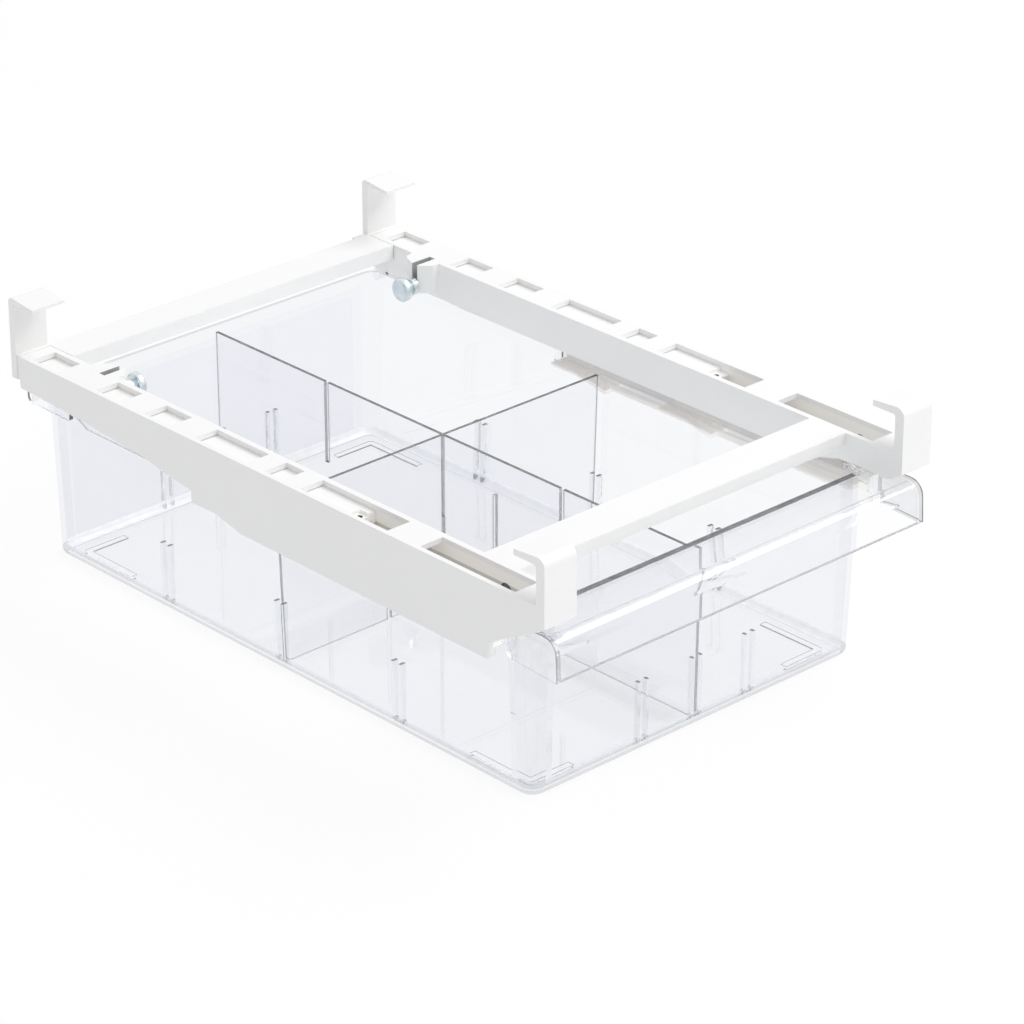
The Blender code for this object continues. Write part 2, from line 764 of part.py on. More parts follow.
def foot(name, corner_y, direction):
    """An L-shaped ridge under a corner of the floor."""
    corner_x = BIN_TOP_HALF - BIN_SIDE_DRAFT - FOOT_INSET_X + FOOT_WIDTH * HALF
    inner_x = corner_x - FOOT_WIDTH
    inner_y = corner_y - direction * FOOT_WIDTH
    corners = [
        (corner_x, corner_y, FOOT_RADIUS),
        (corner_x, corner_y - direction * FOOT_LEG_Y, 0),
        (inner_x, corner_y - direction * FOOT_LEG_Y, 0),
        (inner_x, inner_y, 0),
        (corner_x - FOOT_LEG_X, inner_y, 0),
        (corner_x - FOOT_LEG_X, corner_y, 0),
    ]
    return slab(name, corners, "XY", 0, FLOOR_UNDERSIDE + BIN_WALL * HALF)


def make_drawer_bin(clear):
    """The clear bin with its flanges, runners, hood, ribs and feet."""
    shell = bin_shell()
    wide = FLANGE_HALF + CUT_OVERRUN
    rim_low = (-wide, BIN_FRONT + RIM_STEP_LENGTH, RIM)
    rim_high = (wide, BIN_REAR + CUT_OVERRUN, HOOD_TOP + CUT_OVERRUN)
    cut(shell, box("rim_cut", rim_low, rim_high))
    join(shell, runner())
    join(shell, hood())
    add_ribs(shell)
    join(shell, foot("front_foot", BIN_FRONT + BIN_FRONT_DRAFT + FOOT_INSET_Y, -1))
    join(shell, foot("rear_foot", BIN_REAR - BIN_REAR_DRAFT - FOOT_INSET_Y, 1))
    mirror(shell)
    shell.data.materials.append(clear)
    return shell


def leaning(start, end, height):
    """A wall's inner face at a height, between its foot and its top."""
    return start + (end - start) * (height - FLOOR_UNDERSIDE) / (HOOD_TOP - FLOOR_UNDERSIDE)


def divider_slit(name, middle, low, high, plane):
    half = DIVIDER_THICKNESS * HALF + DIVIDER_FIT
    left, right = middle - half, middle + half
    corners = plain(((left, low), (right, low), (right, high), (left, high)))
    return slab(name, corners, plane, -DIVIDER_THICKNESS, DIVIDER_THICKNESS)


def divider_heights():
    """The bottom and top of both dividers, and the height where they cross."""
    bottom = FLOOR + RUNNING_GAP
    top = TOP - DIVIDER_TOP_DEPTH
    return bottom, top, (bottom + top) * HALF


def make_long_divider(clear):
    """The divider from front to rear, with slits open at the top."""
    bottom, top, crossing = divider_heights()
    inset = BIN_WALL + RUNNING_GAP
    front_foot = BIN_FRONT + BIN_FRONT_DRAFT + inset
    rear_foot = BIN_REAR - BIN_REAR_DRAFT - inset
    corners = [
        (leaning(front_foot, BIN_FRONT + inset, bottom), bottom, DIVIDER_RADIUS),
        (leaning(rear_foot, BIN_REAR - inset, bottom), bottom, DIVIDER_RADIUS),
        (leaning(rear_foot, BIN_REAR - inset, top), top, 0),
        (leaning(front_foot, BIN_FRONT + inset, top), top, 0),
    ]
    half = DIVIDER_THICKNESS * HALF
    divider = slab("long_divider", corners, "YZ", -half, half, MODEL)
    for number, share in enumerate(RIB_SIDE_SHARES):
        middle = BIN_FRONT + BIN_LENGTH * share
        slit = divider_slit(
            "long_slit_%d" % number, middle, crossing - SLIT_OVERLAP * HALF, top + CUT_OVERRUN, "YZ"
        )
        cut(divider, slit)
    divider.data.materials.append(clear)
    return divider


def make_cross_divider(clear):
    """The divider from side to side, with slits open at the bottom."""
    bottom, top, crossing = divider_heights()
    inset = BIN_WALL + CROSS_END_GAP
    foot_half = BIN_TOP_HALF - BIN_SIDE_DRAFT - inset
    top_half = BIN_TOP_HALF - inset
    low_half = leaning(foot_half, top_half, bottom)
    high_half = leaning(foot_half, top_half, top)
    corners = [
        (-low_half, bottom, DIVIDER_RADIUS),
        (low_half, bottom, DIVIDER_RADIUS),
        (high_half, top, 0),
        (-high_half, top, 0),
    ]
    middle = BIN_FRONT + BIN_LENGTH * RIB_SIDE_SHARES[1]
    half = DIVIDER_THICKNESS * HALF
    divider = slab("cross_divider", corners, "XZ", middle - half, middle + half, MODEL)
    for number, place in enumerate((-RIB_SPACING_X, 0, RIB_SPACING_X)):
        slit = divider_slit(
            "cross_slit_%d" % number, place, bottom - CUT_OVERRUN, crossing + SLIT_OVERLAP * HALF, "XZ"
        )
        slit.data.transform(Matrix.Translation((0, middle, 0)))
        cut(divider, slit)
    divider.data.materials.append(clear)
    return divider


def screw_profile():
    """Half the screw's outline from the head's face down: (radius, place along it)."""
    head = HEAD_THICKNESS
    neck = head + NECK_LENGTH
    collar = neck + COLLAR_LENGTH
    nut_far = ARM_INNER + ARM_FLANGE + RUNNING_GAP + NUT_THICKNESS
    tip = collar + RUNNING_GAP + nut_far - BOSS_INNER + SCREW_END
    return [
        (0, 0),
        (HEAD_RADIUS - HEAD_CHAMFER, 0),
        (HEAD_RADIUS, HEAD_CHAMFER),
        (HEAD_RADIUS, head - HEAD_CHAMFER),
        (HEAD_RADIUS - HEAD_CHAMFER, head),
        (NECK_RADIUS, head),
        (NECK_RADIUS, neck),
        (COLLAR_RADIUS, neck),
        (COLLAR_RADIUS, collar),
        (SHANK_RADIUS, collar),
        (SHANK_RADIUS, tip - SCREW_END * HALF),
        (SHANK_RADIUS - SCREW_END * HALF, tip),
        (0, tip),
    ], collar


def make_thumbscrew(name, side, metal):
    """A turned thumbscrew, its head towards the middle of the object."""
    profile, collar = screw_profile()
    mesh = bpy.data.meshes.new(name)
    points = [(radius, 0, -along) for radius, along in profile]
    edges = [(index, index + 1) for index in range(len(points) - 1)]
    mesh.from_pydata(points, edges, [])
    screw = add_object(name, mesh, MODEL)
    turn = screw.modifiers.new("turned", "SCREW")
    turn.steps = ROUND_STEPS
    turn.render_steps = ROUND_STEPS
    turn.use_merge_vertices = True
    turn.merge_threshold = WELD_DISTANCE
    turn.use_normal_calculate = True
    head_face = side * (BOSS_INNER - RUNNING_GAP - collar)
    screw.location = (head_face, SCREW_Y, SCREW_HEIGHT)
    screw.rotation_euler = (0, -side * math.pi * HALF, 0)
    mesh.materials.append(metal)
    return screw


def make_nut(name, side, metal):
    """A square nut in the arm's track."""
    near = ARM_INNER + ARM_FLANGE + RUNNING_GAP
    far = near + NUT_THICKNESS
    half = NUT_SIZE * HALF
    ends = sorted((side * near, side * far))
    low = (ends[0], SCREW_Y - half, SCREW_HEIGHT - half)
    high = (ends[1], SCREW_Y + half, SCREW_HEIGHT + half)
    nut = box(name, low, high, MODEL)
    mesh = bpy.data.meshes.new(name + "_bore")
    work = bmesh.new()
    bmesh.ops.create_cone(
        work, cap_ends=True, segments=ROUND_STEPS, radius1=SHANK_RADIUS + RUNNING_GAP,
        radius2=SHANK_RADIUS + RUNNING_GAP, depth=NUT_THICKNESS + CUT_OVERRUN
    )
    work.to_mesh(mesh)
    work.free()
    bore = add_object(name + "_bore", mesh, TOOLS)
    bore.location = (side * (near + far) * HALF, SCREW_Y, SCREW_HEIGHT)
    bore.rotation_euler = (0, math.pi * HALF, 0)
    cut(nut, bore)
    nut.data.materials.append(metal)
    return nut


def hang(name, place, pieces):
    """An empty on a joint's axis that carries the pieces that move with it."""
    pivot = bpy.data.objects.new(name, None)
    MODEL.objects.link(pivot)
    pivot.location = place
    for piece in pieces:
        piece.parent = pivot
        piece.matrix_parent_inverse = Matrix.Translation(-Vector(place))
    return pivot


def shade(piece):
    """Round stretches look round, and edges stay crisp."""
    piece.data.shade_smooth()
    piece.data.set_sharp_from_angle(angle=math.pi / ARC_STEPS)


def main():
    clear_scene()
    bpy.context.scene.collection.children.link(MODEL)
    bpy.context.scene.collection.children.link(TOOLS)
    white = material("white_plastic", (0.90, 0.90, 0.90), 0.35)
    clear = material("clear_plastic", (0.93, 0.95, 0.97), 0.05, transmission=1.0)
    metal = material("zinc_plated_steel", (0.72, 0.77, 0.80), 0.25, metallic=1.0)
    make_front_frame(white)
    slider = make_rear_slider(white)
    drawer = make_drawer_bin(clear)
    long_divider = make_long_divider(clear)
    cross_divider = make_cross_divider(clear)
    for name, side in (("left", -1), ("right", 1)):
        shade(make_thumbscrew(name + "_thumbscrew", side, metal))
        make_nut(name + "_clamp_nut", side, metal)
    bin_middle = (0, (BIN_FRONT + BIN_REAR) * HALF, RIM)
    hang("rear_extension", (0, PLATE_FRONT, TOP), [slider])
    divider_lift = hang("long_divider_lift", bin_middle, [long_divider])
    crossing = (0, BIN_FRONT + BIN_LENGTH * RIB_SIDE_SHARES[1], RIM)
    cross_lift = hang("cross_divider_lift", crossing, [cross_divider])
    cross_lift.parent = divider_lift
    cross_lift.matrix_parent_inverse = Matrix.Translation(-Vector(bin_middle))
    hang("drawer_slide", bin_middle, [drawer, divider_lift])


main()
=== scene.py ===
# %% [markdown]
# Fridge drawer organizer
#
# The real object is a clear plastic bin that hangs from a white plastic frame
# under a refrigerator shelf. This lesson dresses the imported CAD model: the
# shapes of the two white mouldings and the clear mouldings are already right,
# so they get soft edges and real finishes, and the thumbscrews, which the
# CAD keeps plain, are modelled here in full.
#
# `MM` turns millimetres into metres, and `NEAR` is how close counts as touching.

# %% Load the frame
import math

import bmesh
import bpy
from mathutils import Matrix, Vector


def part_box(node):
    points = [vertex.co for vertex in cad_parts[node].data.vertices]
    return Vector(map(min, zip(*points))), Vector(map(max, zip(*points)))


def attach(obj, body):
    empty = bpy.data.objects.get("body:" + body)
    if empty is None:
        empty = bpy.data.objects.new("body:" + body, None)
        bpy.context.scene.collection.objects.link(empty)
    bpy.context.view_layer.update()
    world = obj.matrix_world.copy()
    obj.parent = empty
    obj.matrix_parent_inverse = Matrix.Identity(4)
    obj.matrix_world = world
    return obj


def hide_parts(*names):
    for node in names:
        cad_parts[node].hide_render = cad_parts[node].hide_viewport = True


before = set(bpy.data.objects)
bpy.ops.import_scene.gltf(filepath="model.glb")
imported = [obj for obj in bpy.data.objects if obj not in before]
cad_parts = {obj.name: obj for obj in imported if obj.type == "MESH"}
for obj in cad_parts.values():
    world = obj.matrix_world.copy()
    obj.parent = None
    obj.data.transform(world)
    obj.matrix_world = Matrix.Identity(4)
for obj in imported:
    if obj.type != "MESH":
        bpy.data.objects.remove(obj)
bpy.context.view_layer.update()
MM = 0.001
NEAR = 0.2 * MM
print("nodes:", sorted(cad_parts))

# %% [markdown]
# The camera comes first, because everything else is judged through it. The
# photograph was taken from the front left and above with a long lens, so the
# far hooks look almost as large as the near ones. A camera is a location and
# a direction: the direction is built from the two angles, and the lens is the
# one that gives the photograph's perspective.

# %% Camera
CAMERA_AZIMUTH = math.radians(-43.104)
CAMERA_ELEVATION = math.radians(25.769)
CAMERA_PLACE = Vector((-1.041952, -1.142099, 0.790055))
SENSOR_WIDTH = 36
FOCAL_LENGTH_IN_PIXELS = 4338.12
PICTURE_WIDTH_IN_PIXELS = 1024
FAR_END = 20
backwards = Vector((
    math.sin(CAMERA_AZIMUTH) * math.cos(CAMERA_ELEVATION),
    -math.cos(CAMERA_AZIMUTH) * math.cos(CAMERA_ELEVATION),
    math.sin(CAMERA_ELEVATION),
))
bpy.ops.object.camera_add(location=CAMERA_PLACE)
camera = bpy.context.object
camera.name = "camera"
camera.rotation_euler = backwards.to_track_quat("Z", "Y").to_euler()
camera.data.sensor_width = SENSOR_WIDTH
camera.data.lens = FOCAL_LENGTH_IN_PIXELS * SENSOR_WIDTH / PICTURE_WIDTH_IN_PIXELS
camera.data.clip_end = FAR_END
bpy.context.scene.camera = camera
print("lens:", round(camera.data.lens, 2), "mm")

# %% [markdown]
# A few anchors are read from the frame, so that every detail below stays with
# its part. The rails' top surface lies 14 mm above the bin's highest point, and
# the rim of the bin 2.5 mm below it. The rails' front faces and the arms'
# front ends are ends of their boxes, and the screws' axis runs through the
# middle of a screw's box.

# %% Anchors
BIN_LOW, BIN_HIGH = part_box("drawer_bin")
SCREW_LOW, SCREW_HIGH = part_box("left_thumbscrew")
HOOD_TOP = BIN_HIGH[2]
TOP = HOOD_TOP + 14.0 * MM
RIM = HOOD_TOP - 2.5 * MM
SCREW_Y = (SCREW_LOW[1] + SCREW_HIGH[1]) / 2
SCREW_Z = (SCREW_LOW[2] + SCREW_HIGH[2]) / 2
FRAME_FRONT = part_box("front_frame")[0][1]
ARM_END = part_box("rear_slider")[0][1]
print("rail tops at", round(TOP, 4), "rim at", round(RIM, 4))
print("screw axis at y, z:", round(SCREW_Y, 4), round(SCREW_Z, 4))

# %% [markdown]
# An operator acts on everything that is selected, and it needs its object to
# be the active one. These few helpers keep that tidy: one clears the
# selection, one picks an object, and one picks faces by a test on each face.

# %% Helpers for selecting and applying
def deselect():
    if bpy.context.mode != "OBJECT":
        bpy.ops.object.mode_set(mode="OBJECT")
    bpy.ops.object.select_all(action="DESELECT")


def pick(thing):
    deselect()
    thing.select_set(True)
    bpy.context.view_layer.objects.active = thing


def edit(thing):
    pick(thing)
    bpy.ops.object.mode_set(mode="EDIT")
    bpy.ops.mesh.select_mode(type="FACE")
    bpy.ops.mesh.select_all(action="DESELECT")


def pick_faces(test):
    """In edit mode, select the faces whose centre and normal pass the test."""
    work = bmesh.from_edit_mesh(bpy.context.object.data)
    chosen = 0
    for face in work.faces:
        passed = test(face.calc_center_median(), face.normal)
        face.select_set(passed)
        chosen += passed
    work.select_flush(True)
    bmesh.update_edit_mesh(bpy.context.object.data)
    return chosen


def apply_all(thing):
    pick(thing)
    for change in list(thing.modifiers):
        bpy.ops.object.modifier_apply(modifier=change.name)


def settle(thing):
    """Put the object at the origin, unturned, with its place in its mesh."""
    pick(thing)
    bpy.ops.object.transform_apply(location=True, rotation=True, scale=True)


# %% [markdown]
# A shader is a network of small sums. Writing them as nodes by hand is slow
# to read, so one class wraps a socket and lets Python's own signs add the
# Math nodes. `plug` puts a wire or a plain value into a socket.

# %% Shader maths
class Wire:
    def __init__(self, tree, socket):
        self.tree = tree
        self.socket = socket

    def sum(self, operation, other, flip=False):
        made = self.tree.nodes.new("ShaderNodeMath")
        made.operation = operation
        pair = (other, self) if flip else (self, other)
        for slot, value in zip(made.inputs, pair):
            plug(self.tree, slot, value)
        return Wire(self.tree, made.outputs[0])

    def __add__(self, other):
        return self.sum("ADD", other)

    def __sub__(self, other):
        return self.sum("SUBTRACT", other)

    def __rsub__(self, other):
        return self.sum("SUBTRACT", other, flip=True)

    def __mul__(self, other):
        return self.sum("MULTIPLY", other)

    def clamp(self):
        return self.sum("MINIMUM", 1.0).sum("MAXIMUM", 0.0)

    __radd__ = __add__
    __rmul__ = __mul__


def plug(tree, slot, value):
    if isinstance(value, Wire):
        tree.links.new(value.socket, slot)
    else:
        slot.default_value = value


# %% [markdown]
# Any other node comes from `node`, which takes its kind, its settings and what
# its sockets get, by name, or by number where two sockets share a name. A
# finish is such a network with a Principled shader in it. Every pattern reads
# the Object coordinates, so that it stays on its piece when a joint moves.

# %% Networks and finishes
class Network:
    """The nodes of a material or of the world."""

    def __init__(self, tree):
        self.tree = tree

    def node(self, kind, settings=(), out=0, sockets=(), **values):
        """Add a node: its settings first, then the values or wires of its sockets."""
        made = self.tree.nodes.new(kind)
        for name, value in dict(settings).items():
            setattr(made, name, value)
        for number, value in dict(sockets).items():
            plug(self.tree, made.inputs[number], value)
        for name, value in values.items():
            plug(self.tree, made.inputs[name.replace("_", " ")], value)
        return Wire(self.tree, made.outputs[out])

    def mix(self, factor, low, high):
        """A colour between two others, which are plain colours or wires."""
        low, high = (end if isinstance(end, Wire) else (*end, 1) for end in (low, high))
        ends = {0: factor, 6: low, 7: high}
        return self.node("ShaderNodeMix", {"data_type": "RGBA"}, out=2, sockets=ends)


class Finish(Network):
    """A material that is built node by node."""

    def __init__(self, name):
        self.material = bpy.data.materials.new(name)
        self.material.use_nodes = True
        super().__init__(self.material.node_tree)
        self.shader = self.tree.nodes["Principled BSDF"]
        self.output = self.tree.nodes["Material Output"]

    def set(self, **values):
        for name, value in values.items():
            plug(self.tree, self.shader.inputs[name.replace("_", " ")], value)

    def place(self):
        return self.node("ShaderNodeTexCoord", out="Object")

    def part_of_place(self, axis):
        return self.node("ShaderNodeSeparateXYZ", out=axis, Vector=self.place())

    def noise(self, scale, detail=2.0, stretch=None):
        where = self.place()
        if stretch:
            where = self.node("ShaderNodeMapping", Vector=where, Scale=stretch)
        return self.node("ShaderNodeTexNoise", Vector=where, Scale=scale, Detail=detail)

    def cover(self, factor, other):
        """Mix the surface shader with another one and send that out."""
        own = Wire(self.tree, self.shader.outputs[0])
        blend = self.node("ShaderNodeMixShader", sockets={0: factor, 1: own, 2: other})
        plug(self.tree, self.output.inputs["Surface"], blend)


# %% [markdown]
# White plastic. The frame is moulded in a white that is a trace warm, with a
# satin skin: broad soft reflections and no speckle. The lamps are a trace cool,
# so open surfaces come out neutral while the channels, lit by plastic that
# lights plastic, turn beige, and their own finish paints more beige shade on
# top. A coarse noise shifts the colour and the gloss by a few percent, as flow
# in the mould does, and a fine one feeds a weak bump. The arms' decks get the
# same white with a faint glow: painted light.

# %% Finish: white plastic
PLASTIC_IOR = 1.49


def white_plastic(name, glow=0.0):
    finish = Finish(name)
    flow = finish.noise(scale=38.0, detail=3.0)
    grain = finish.noise(scale=5200.0, detail=1.0)
    finish.set(
        Base_Color=finish.mix(flow, (0.90, 0.897, 0.887), (0.925, 0.922, 0.912)),
        Emission_Color=(1, 1, 1, 1),
        Emission_Strength=glow,
        Roughness=flow * 0.08 + 0.33,
        IOR=PLASTIC_IOR,
        Normal=finish.node("ShaderNodeBump", Strength=0.06, Distance=0.02 * MM, Height=grain),
    )
    return finish.material


WHITE = white_plastic("satin white plastic")
# The arms' decks glow faintly: painted light.
LIT_DECK_WHITE = white_plastic("white plastic of the arms, painted light", glow=0.02)

# %% [markdown]
# Inside the rails the plastic has never been polished, so it is duller and
# shows draw lines along the rail. Its colour is painted a little darker and
# warmer than the open white: painted shade. Below a line 6.7 mm under the
# rails' top it is painted much darker, as painted shade of the drawer's own
# flange. Further down, near the open underside, the painted shade grows
# lighter again. The height comes straight from the Object coordinates. A faint
# glow, stronger near the underside, is painted light: it stands for a little
# daylight soaking through the thin white walls.

# %% Finish: inside the rails
SHADE_LINE = TOP - 6.7 * MM
SHADE_END = TOP - 15.0 * MM
SHADE_LINE_SHARPNESS = 2500.0
SHADE_END_SHARPNESS = 400.0
LIGHTER_BELOW = 0.7


def channel_plastic():
    finish = Finish("white plastic inside the rails, painted shade")
    lines = finish.noise(scale=90.0, detail=4.0, stretch=(1.0, 0.06, 6.0))
    height = finish.part_of_place("Z")
    low = ((SHADE_END - height) * SHADE_END_SHARPNESS).clamp()
    shade = ((SHADE_LINE - height) * SHADE_LINE_SHARPNESS).clamp()
    # depth is the share of painted shade at each height.
    depth = shade * (1.0 - low * LIGHTER_BELOW)
    lightly_shaded_colour = finish.mix(lines, (0.86, 0.85, 0.82), (0.93, 0.92, 0.895))
    painted_shade_colour = finish.mix(lines, (0.46, 0.43, 0.40), (0.62, 0.59, 0.56))
    finish.set(
        Base_Color=finish.mix(depth, lightly_shaded_colour, painted_shade_colour),
        # The glow is painted light.
        Emission_Color=finish.mix(low, (0.364, 0.35, 0.328), (1.0, 0.96, 0.90)),
        Emission_Strength=0.22,
        Roughness=lines * 0.15 + 0.45,
        IOR=PLASTIC_IOR,
        Normal=finish.node("ShaderNodeBump", Strength=0.1, Distance=0.05 * MM, Height=lines),
    )
    return finish.material


CHANNEL_SHADE = channel_plastic()

# %% [markdown]
# The ledges lie deepest in the rails, open to the light from below. Their
# colour is warm and streaked, and a glow paints them paler: painted light. The
# recesses, the holes in the arms and the screws' slits get plain dark plastic:
# painted shade.

# %% Finish: ledges, recesses and slits
def ledge_plastic():
    finish = Finish("ledge plastic, painted light")
    lines = finish.noise(scale=70.0, detail=3.0, stretch=(5.0, 0.3, 5.0))
    finish.set(
        Base_Color=finish.mix(lines, (0.70, 0.68, 0.645), (0.93, 0.915, 0.885)),
        # The glow is painted light.
        Emission_Color=(1.0, 0.955, 0.90, 1),
        Emission_Strength=0.31,
        Roughness=lines * 0.15 + 0.45,
        IOR=PLASTIC_IOR,
    )
    return finish.material


def painted_shade_plastic(name, low, high):
    finish = Finish(name)
    cloud = finish.noise(scale=400.0)
    finish.set(
        Base_Color=finish.mix(cloud, low, high),
        Roughness=0.6,
    )
    return finish.material


LEDGE = ledge_plastic()
# Dark plastic as painted shade, deep in the recesses and holes, lighter in the slits.
DEEP_SHADE = painted_shade_plastic("plastic in deep shade", (0.10, 0.095, 0.09), (0.22, 0.21, 0.20))
SLIT_SHADE = painted_shade_plastic("painted shade inside the slits", (0.40, 0.40, 0.39), (0.50, 0.50, 0.49))

# %% [markdown]
# Clear plastic. Walls of clear polystyrene bend the light, mirror a little of
# the room, and each one takes away a few percent, more of the red than of the
# blue. Glass in Blender blocks lamps, which would blacken the bin's inside, so
# the rays that look for a lamp, and those that a dull surface sends out for
# light, pass with only the wall's own loss: that is what Light Path's Is Shadow
# Ray and Is Diffuse Ray are mixed in for. Light that meets a wall's far face at
# too flat a slant stays trapped inside and would show as a black bar. A
# Fresnel node gives one exactly where its index traps light, and a good part of
# that light is let out. `TRAPPED_BELOW` is the cosine of the slant where that
# starts, and the index follows from it. `cover` is the share of the light that
# bends at all: along the bin's corners and rim nearly all of it goes straight
# on, because two thin faces that meet at a corner would only make dark lines.

# %% Finish: clear plastic
TRAPPED_BELOW = 0.74
TRAPPING_IOR = 1 / math.sqrt(1 - TRAPPED_BELOW ** 2)
ALL_REFLECTED = 0.999
LET_OUT = 0.42
PALER = 1.015


def clear_plastic(name, tint, passing, cover=1.0):
    finish = Finish(name)
    flow = finish.noise(scale=30.0, detail=2.0)
    paler = [value * PALER for value in tint]
    finish.set(
        Base_Color=finish.mix(flow, tint, paler),
        Roughness=0.0,
        IOR=PLASTIC_IOR,
        Transmission_Weight=1.0,
    )
    lamp_ray = finish.node("ShaderNodeLightPath", out="Is Shadow Ray")
    dull_ray = finish.node("ShaderNodeLightPath", out="Is Diffuse Ray")
    reflected = finish.node("ShaderNodeFresnel", IOR=TRAPPING_IOR)
    trapped = reflected.sum("GREATER_THAN", ALL_REFLECTED) * LET_OUT
    straight = (lamp_ray + dull_ray + trapped + (1.0 - cover)).clamp()
    finish.cover(straight, finish.node("ShaderNodeBsdfTransparent", Color=(*passing, 1)))
    return finish.material


PASSING = (0.97, 0.975, 0.98)
CLEAR = clear_plastic("clear moulded plastic", (0.935, 0.94, 0.956), PASSING)
# The rear wall's darker tint is painted shade: it is the same plastic as the other walls.
REAR_SHADED = clear_plastic("clear plastic of the rear wall, painted darker", (0.865, 0.875, 0.915), PASSING)
SOFT = clear_plastic("clear plastic at corners", (0.935, 0.94, 0.956), (0.955, 0.96, 0.97), 0.1)
# The hood's lighter tint is painted light: it is the same plastic as the walls.
HOOD_LIT = clear_plastic("clear plastic of the hood, painted lighter", (0.975, 0.977, 0.985), PASSING)

# %% [markdown]
# A clear sheet is dark where it is seen edge on: light that enters there runs
# along inside the wall and hardly comes back. Those narrow faces, such as the
# bin's rim and the tops of the dividers, get a grey finish that lets some
# light through, with streaks where the moulding is less even. The folds at the
# bin's floor are thick and pale, so they get a clearer one.

# %% Finish: edges of the clear plastic
def edge_plastic(name, tint, cover, glow=0.0, depth=0.7):
    finish = Finish(name)
    streak = finish.noise(scale=260.0, detail=2.0)
    dark = [value * depth for value in tint]
    finish.set(
        Base_Color=finish.mix(streak, dark, tint),
        Emission_Color=(1, 1, 1, 1),
        Emission_Strength=glow,
        Roughness=0.22,
        IOR=PLASTIC_IOR,
        Alpha=cover,
    )
    return finish.material


EDGE = edge_plastic("edge of clear plastic", (0.26, 0.26, 0.275), 0.93, depth=0.1)
DOT = edge_plastic("rib end of clear plastic", (0.14, 0.14, 0.15), 0.9)
FOLD = edge_plastic("fold of clear plastic", (0.55, 0.55, 0.57), 0.35)
# The next finish is white and glows: a painted highlight on the hood's ends.
PAINTED_PALE = edge_plastic("painted highlight on the hood's ends", (1.0, 1.0, 1.0), 0.45, glow=0.22)
# The next finish is white and glows: a painted highlight round the bin's floor.
PAINTED_BAND = edge_plastic("painted highlight round the floor", (1.0, 1.0, 1.0), 0.62, glow=0.3)
FAINT = edge_plastic("faint edge of clear plastic", (0.42, 0.42, 0.44), 0.75)

# %% [markdown]
# Zinc plate on the screws and nuts. It is a bright metal with a cool tint, and
# the turning marks of the lathe show as fine rings round the screw's axis. The
# rings come from the distance to that axis, which for both screws lies along
# X, so only Y and Z count.

# %% Finish: zinc-plated steel
RINGS_PER_METRE = 16000.0


def zinc_plate():
    finish = Finish("zinc plated steel")
    across = finish.part_of_place("Y") - SCREW_Y
    up = finish.part_of_place("Z") - SCREW_Z
    radius = (across * across + up * up).sum("SQRT", 0.0)
    rings = (radius * RINGS_PER_METRE).sum("SINE", 0.0)
    bloom = finish.noise(scale=420.0, detail=3.0)
    finish.set(
        Base_Color=finish.mix(bloom, (0.60, 0.69, 0.73), (0.80, 0.85, 0.87)),
        Metallic=1.0,
        Roughness=bloom * 0.16 + 0.17,
        Normal=finish.node("ShaderNodeBump", Strength=0.12, Distance=0.02 * MM, Height=rings),
    )
    return finish.material


ZINC = zinc_plate()

# %% [markdown]
# The CAD parts are exact but their edges are knife sharp, which no moulding
# is. A copy of each part is merged and its flat faces are joined up again.
# Then a Bevel modifier rounds every real edge, so that edges catch the light,
# and a Weighted Normal modifier keeps the large faces truly flat: in clear
# plastic the slightest bend in the shading would bend the view through it.

# %% Copies of the CAD parts with moulded edges
SHARP_FROM = math.radians(30)


def merged_copy(node, name):
    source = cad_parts[node]
    mesh = source.data.copy()
    mesh.transform(source.matrix_world)
    mesh.materials.clear()
    thing = bpy.data.objects.new(name, mesh)
    bpy.context.scene.collection.objects.link(thing)
    edit(thing)
    bpy.ops.mesh.select_all(action="SELECT")
    bpy.ops.mesh.remove_doubles(threshold=0.002 * MM)
    bpy.ops.mesh.dissolve_limited(angle_limit=math.radians(1.0))
    bpy.ops.object.mode_set(mode="OBJECT")
    return thing


def bisect(thing, place, across):
    edit(thing)
    bpy.ops.mesh.select_all(action="SELECT")
    bpy.ops.mesh.bisect(plane_co=place, plane_no=across, threshold=0.001 * MM)


def mould_edges(thing, radius, steps=2, cuts=()):
    """Round the real edges, cut faces apart at the given planes, flatten the shading."""
    pick(thing)
    bpy.ops.object.shade_smooth_by_angle(angle=SHARP_FROM)
    rounding = thing.modifiers.new("moulded edges", "BEVEL")
    rounding.width = radius
    rounding.segments = steps
    rounding.limit_method = "ANGLE"
    rounding.angle_limit = SHARP_FROM
    apply_all(thing)
    for place, across in cuts:
        bisect(thing, place, across)
    flats = thing.modifiers.new("flat faces stay flat", "WEIGHTED_NORMAL")
    flats.weight = 100
    flats.keep_sharp = True
    apply_all(thing)


# %% [markdown]
# A piece is dressed by a rule: it looks at a face's centre, normal and area and
# says which finish the face gets. Then the piece is seated: the CAD part that it
# stands for is hidden, and the piece rides on its body.

# %% Dressing and seating a piece
def dress(thing, finishes, choose=None):
    """Give each face the finish that the rule returns."""
    for finish in finishes:
        thing.data.materials.append(finish)
    counts = [0] * len(finishes)
    for face in thing.data.polygons:
        if choose:
            chosen = choose(face.center, face.normal, face.area)
            face.material_index = finishes.index(chosen)
        counts[face.material_index] += 1
    print(thing.name, "faces by finish:", counts)


def seat(thing, node, body):
    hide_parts(node)
    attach(thing, body)


# %% [markdown]
# Small shapes are cut out with a Boolean modifier. The tool is a block or a
# round bar that is made at its place and removed after the cut.

# %% Cutting tools
ROD_SIDES = 48


def cut_away(thing, tool):
    """Take the tool's shape out of the thing and remove the tool."""
    pick(thing)
    bite = thing.modifiers.new("cut", "BOOLEAN")
    bite.operation = "DIFFERENCE"
    bite.solver = "EXACT"
    bite.object = tool
    apply_all(thing)
    pick(tool)
    bpy.ops.object.delete()


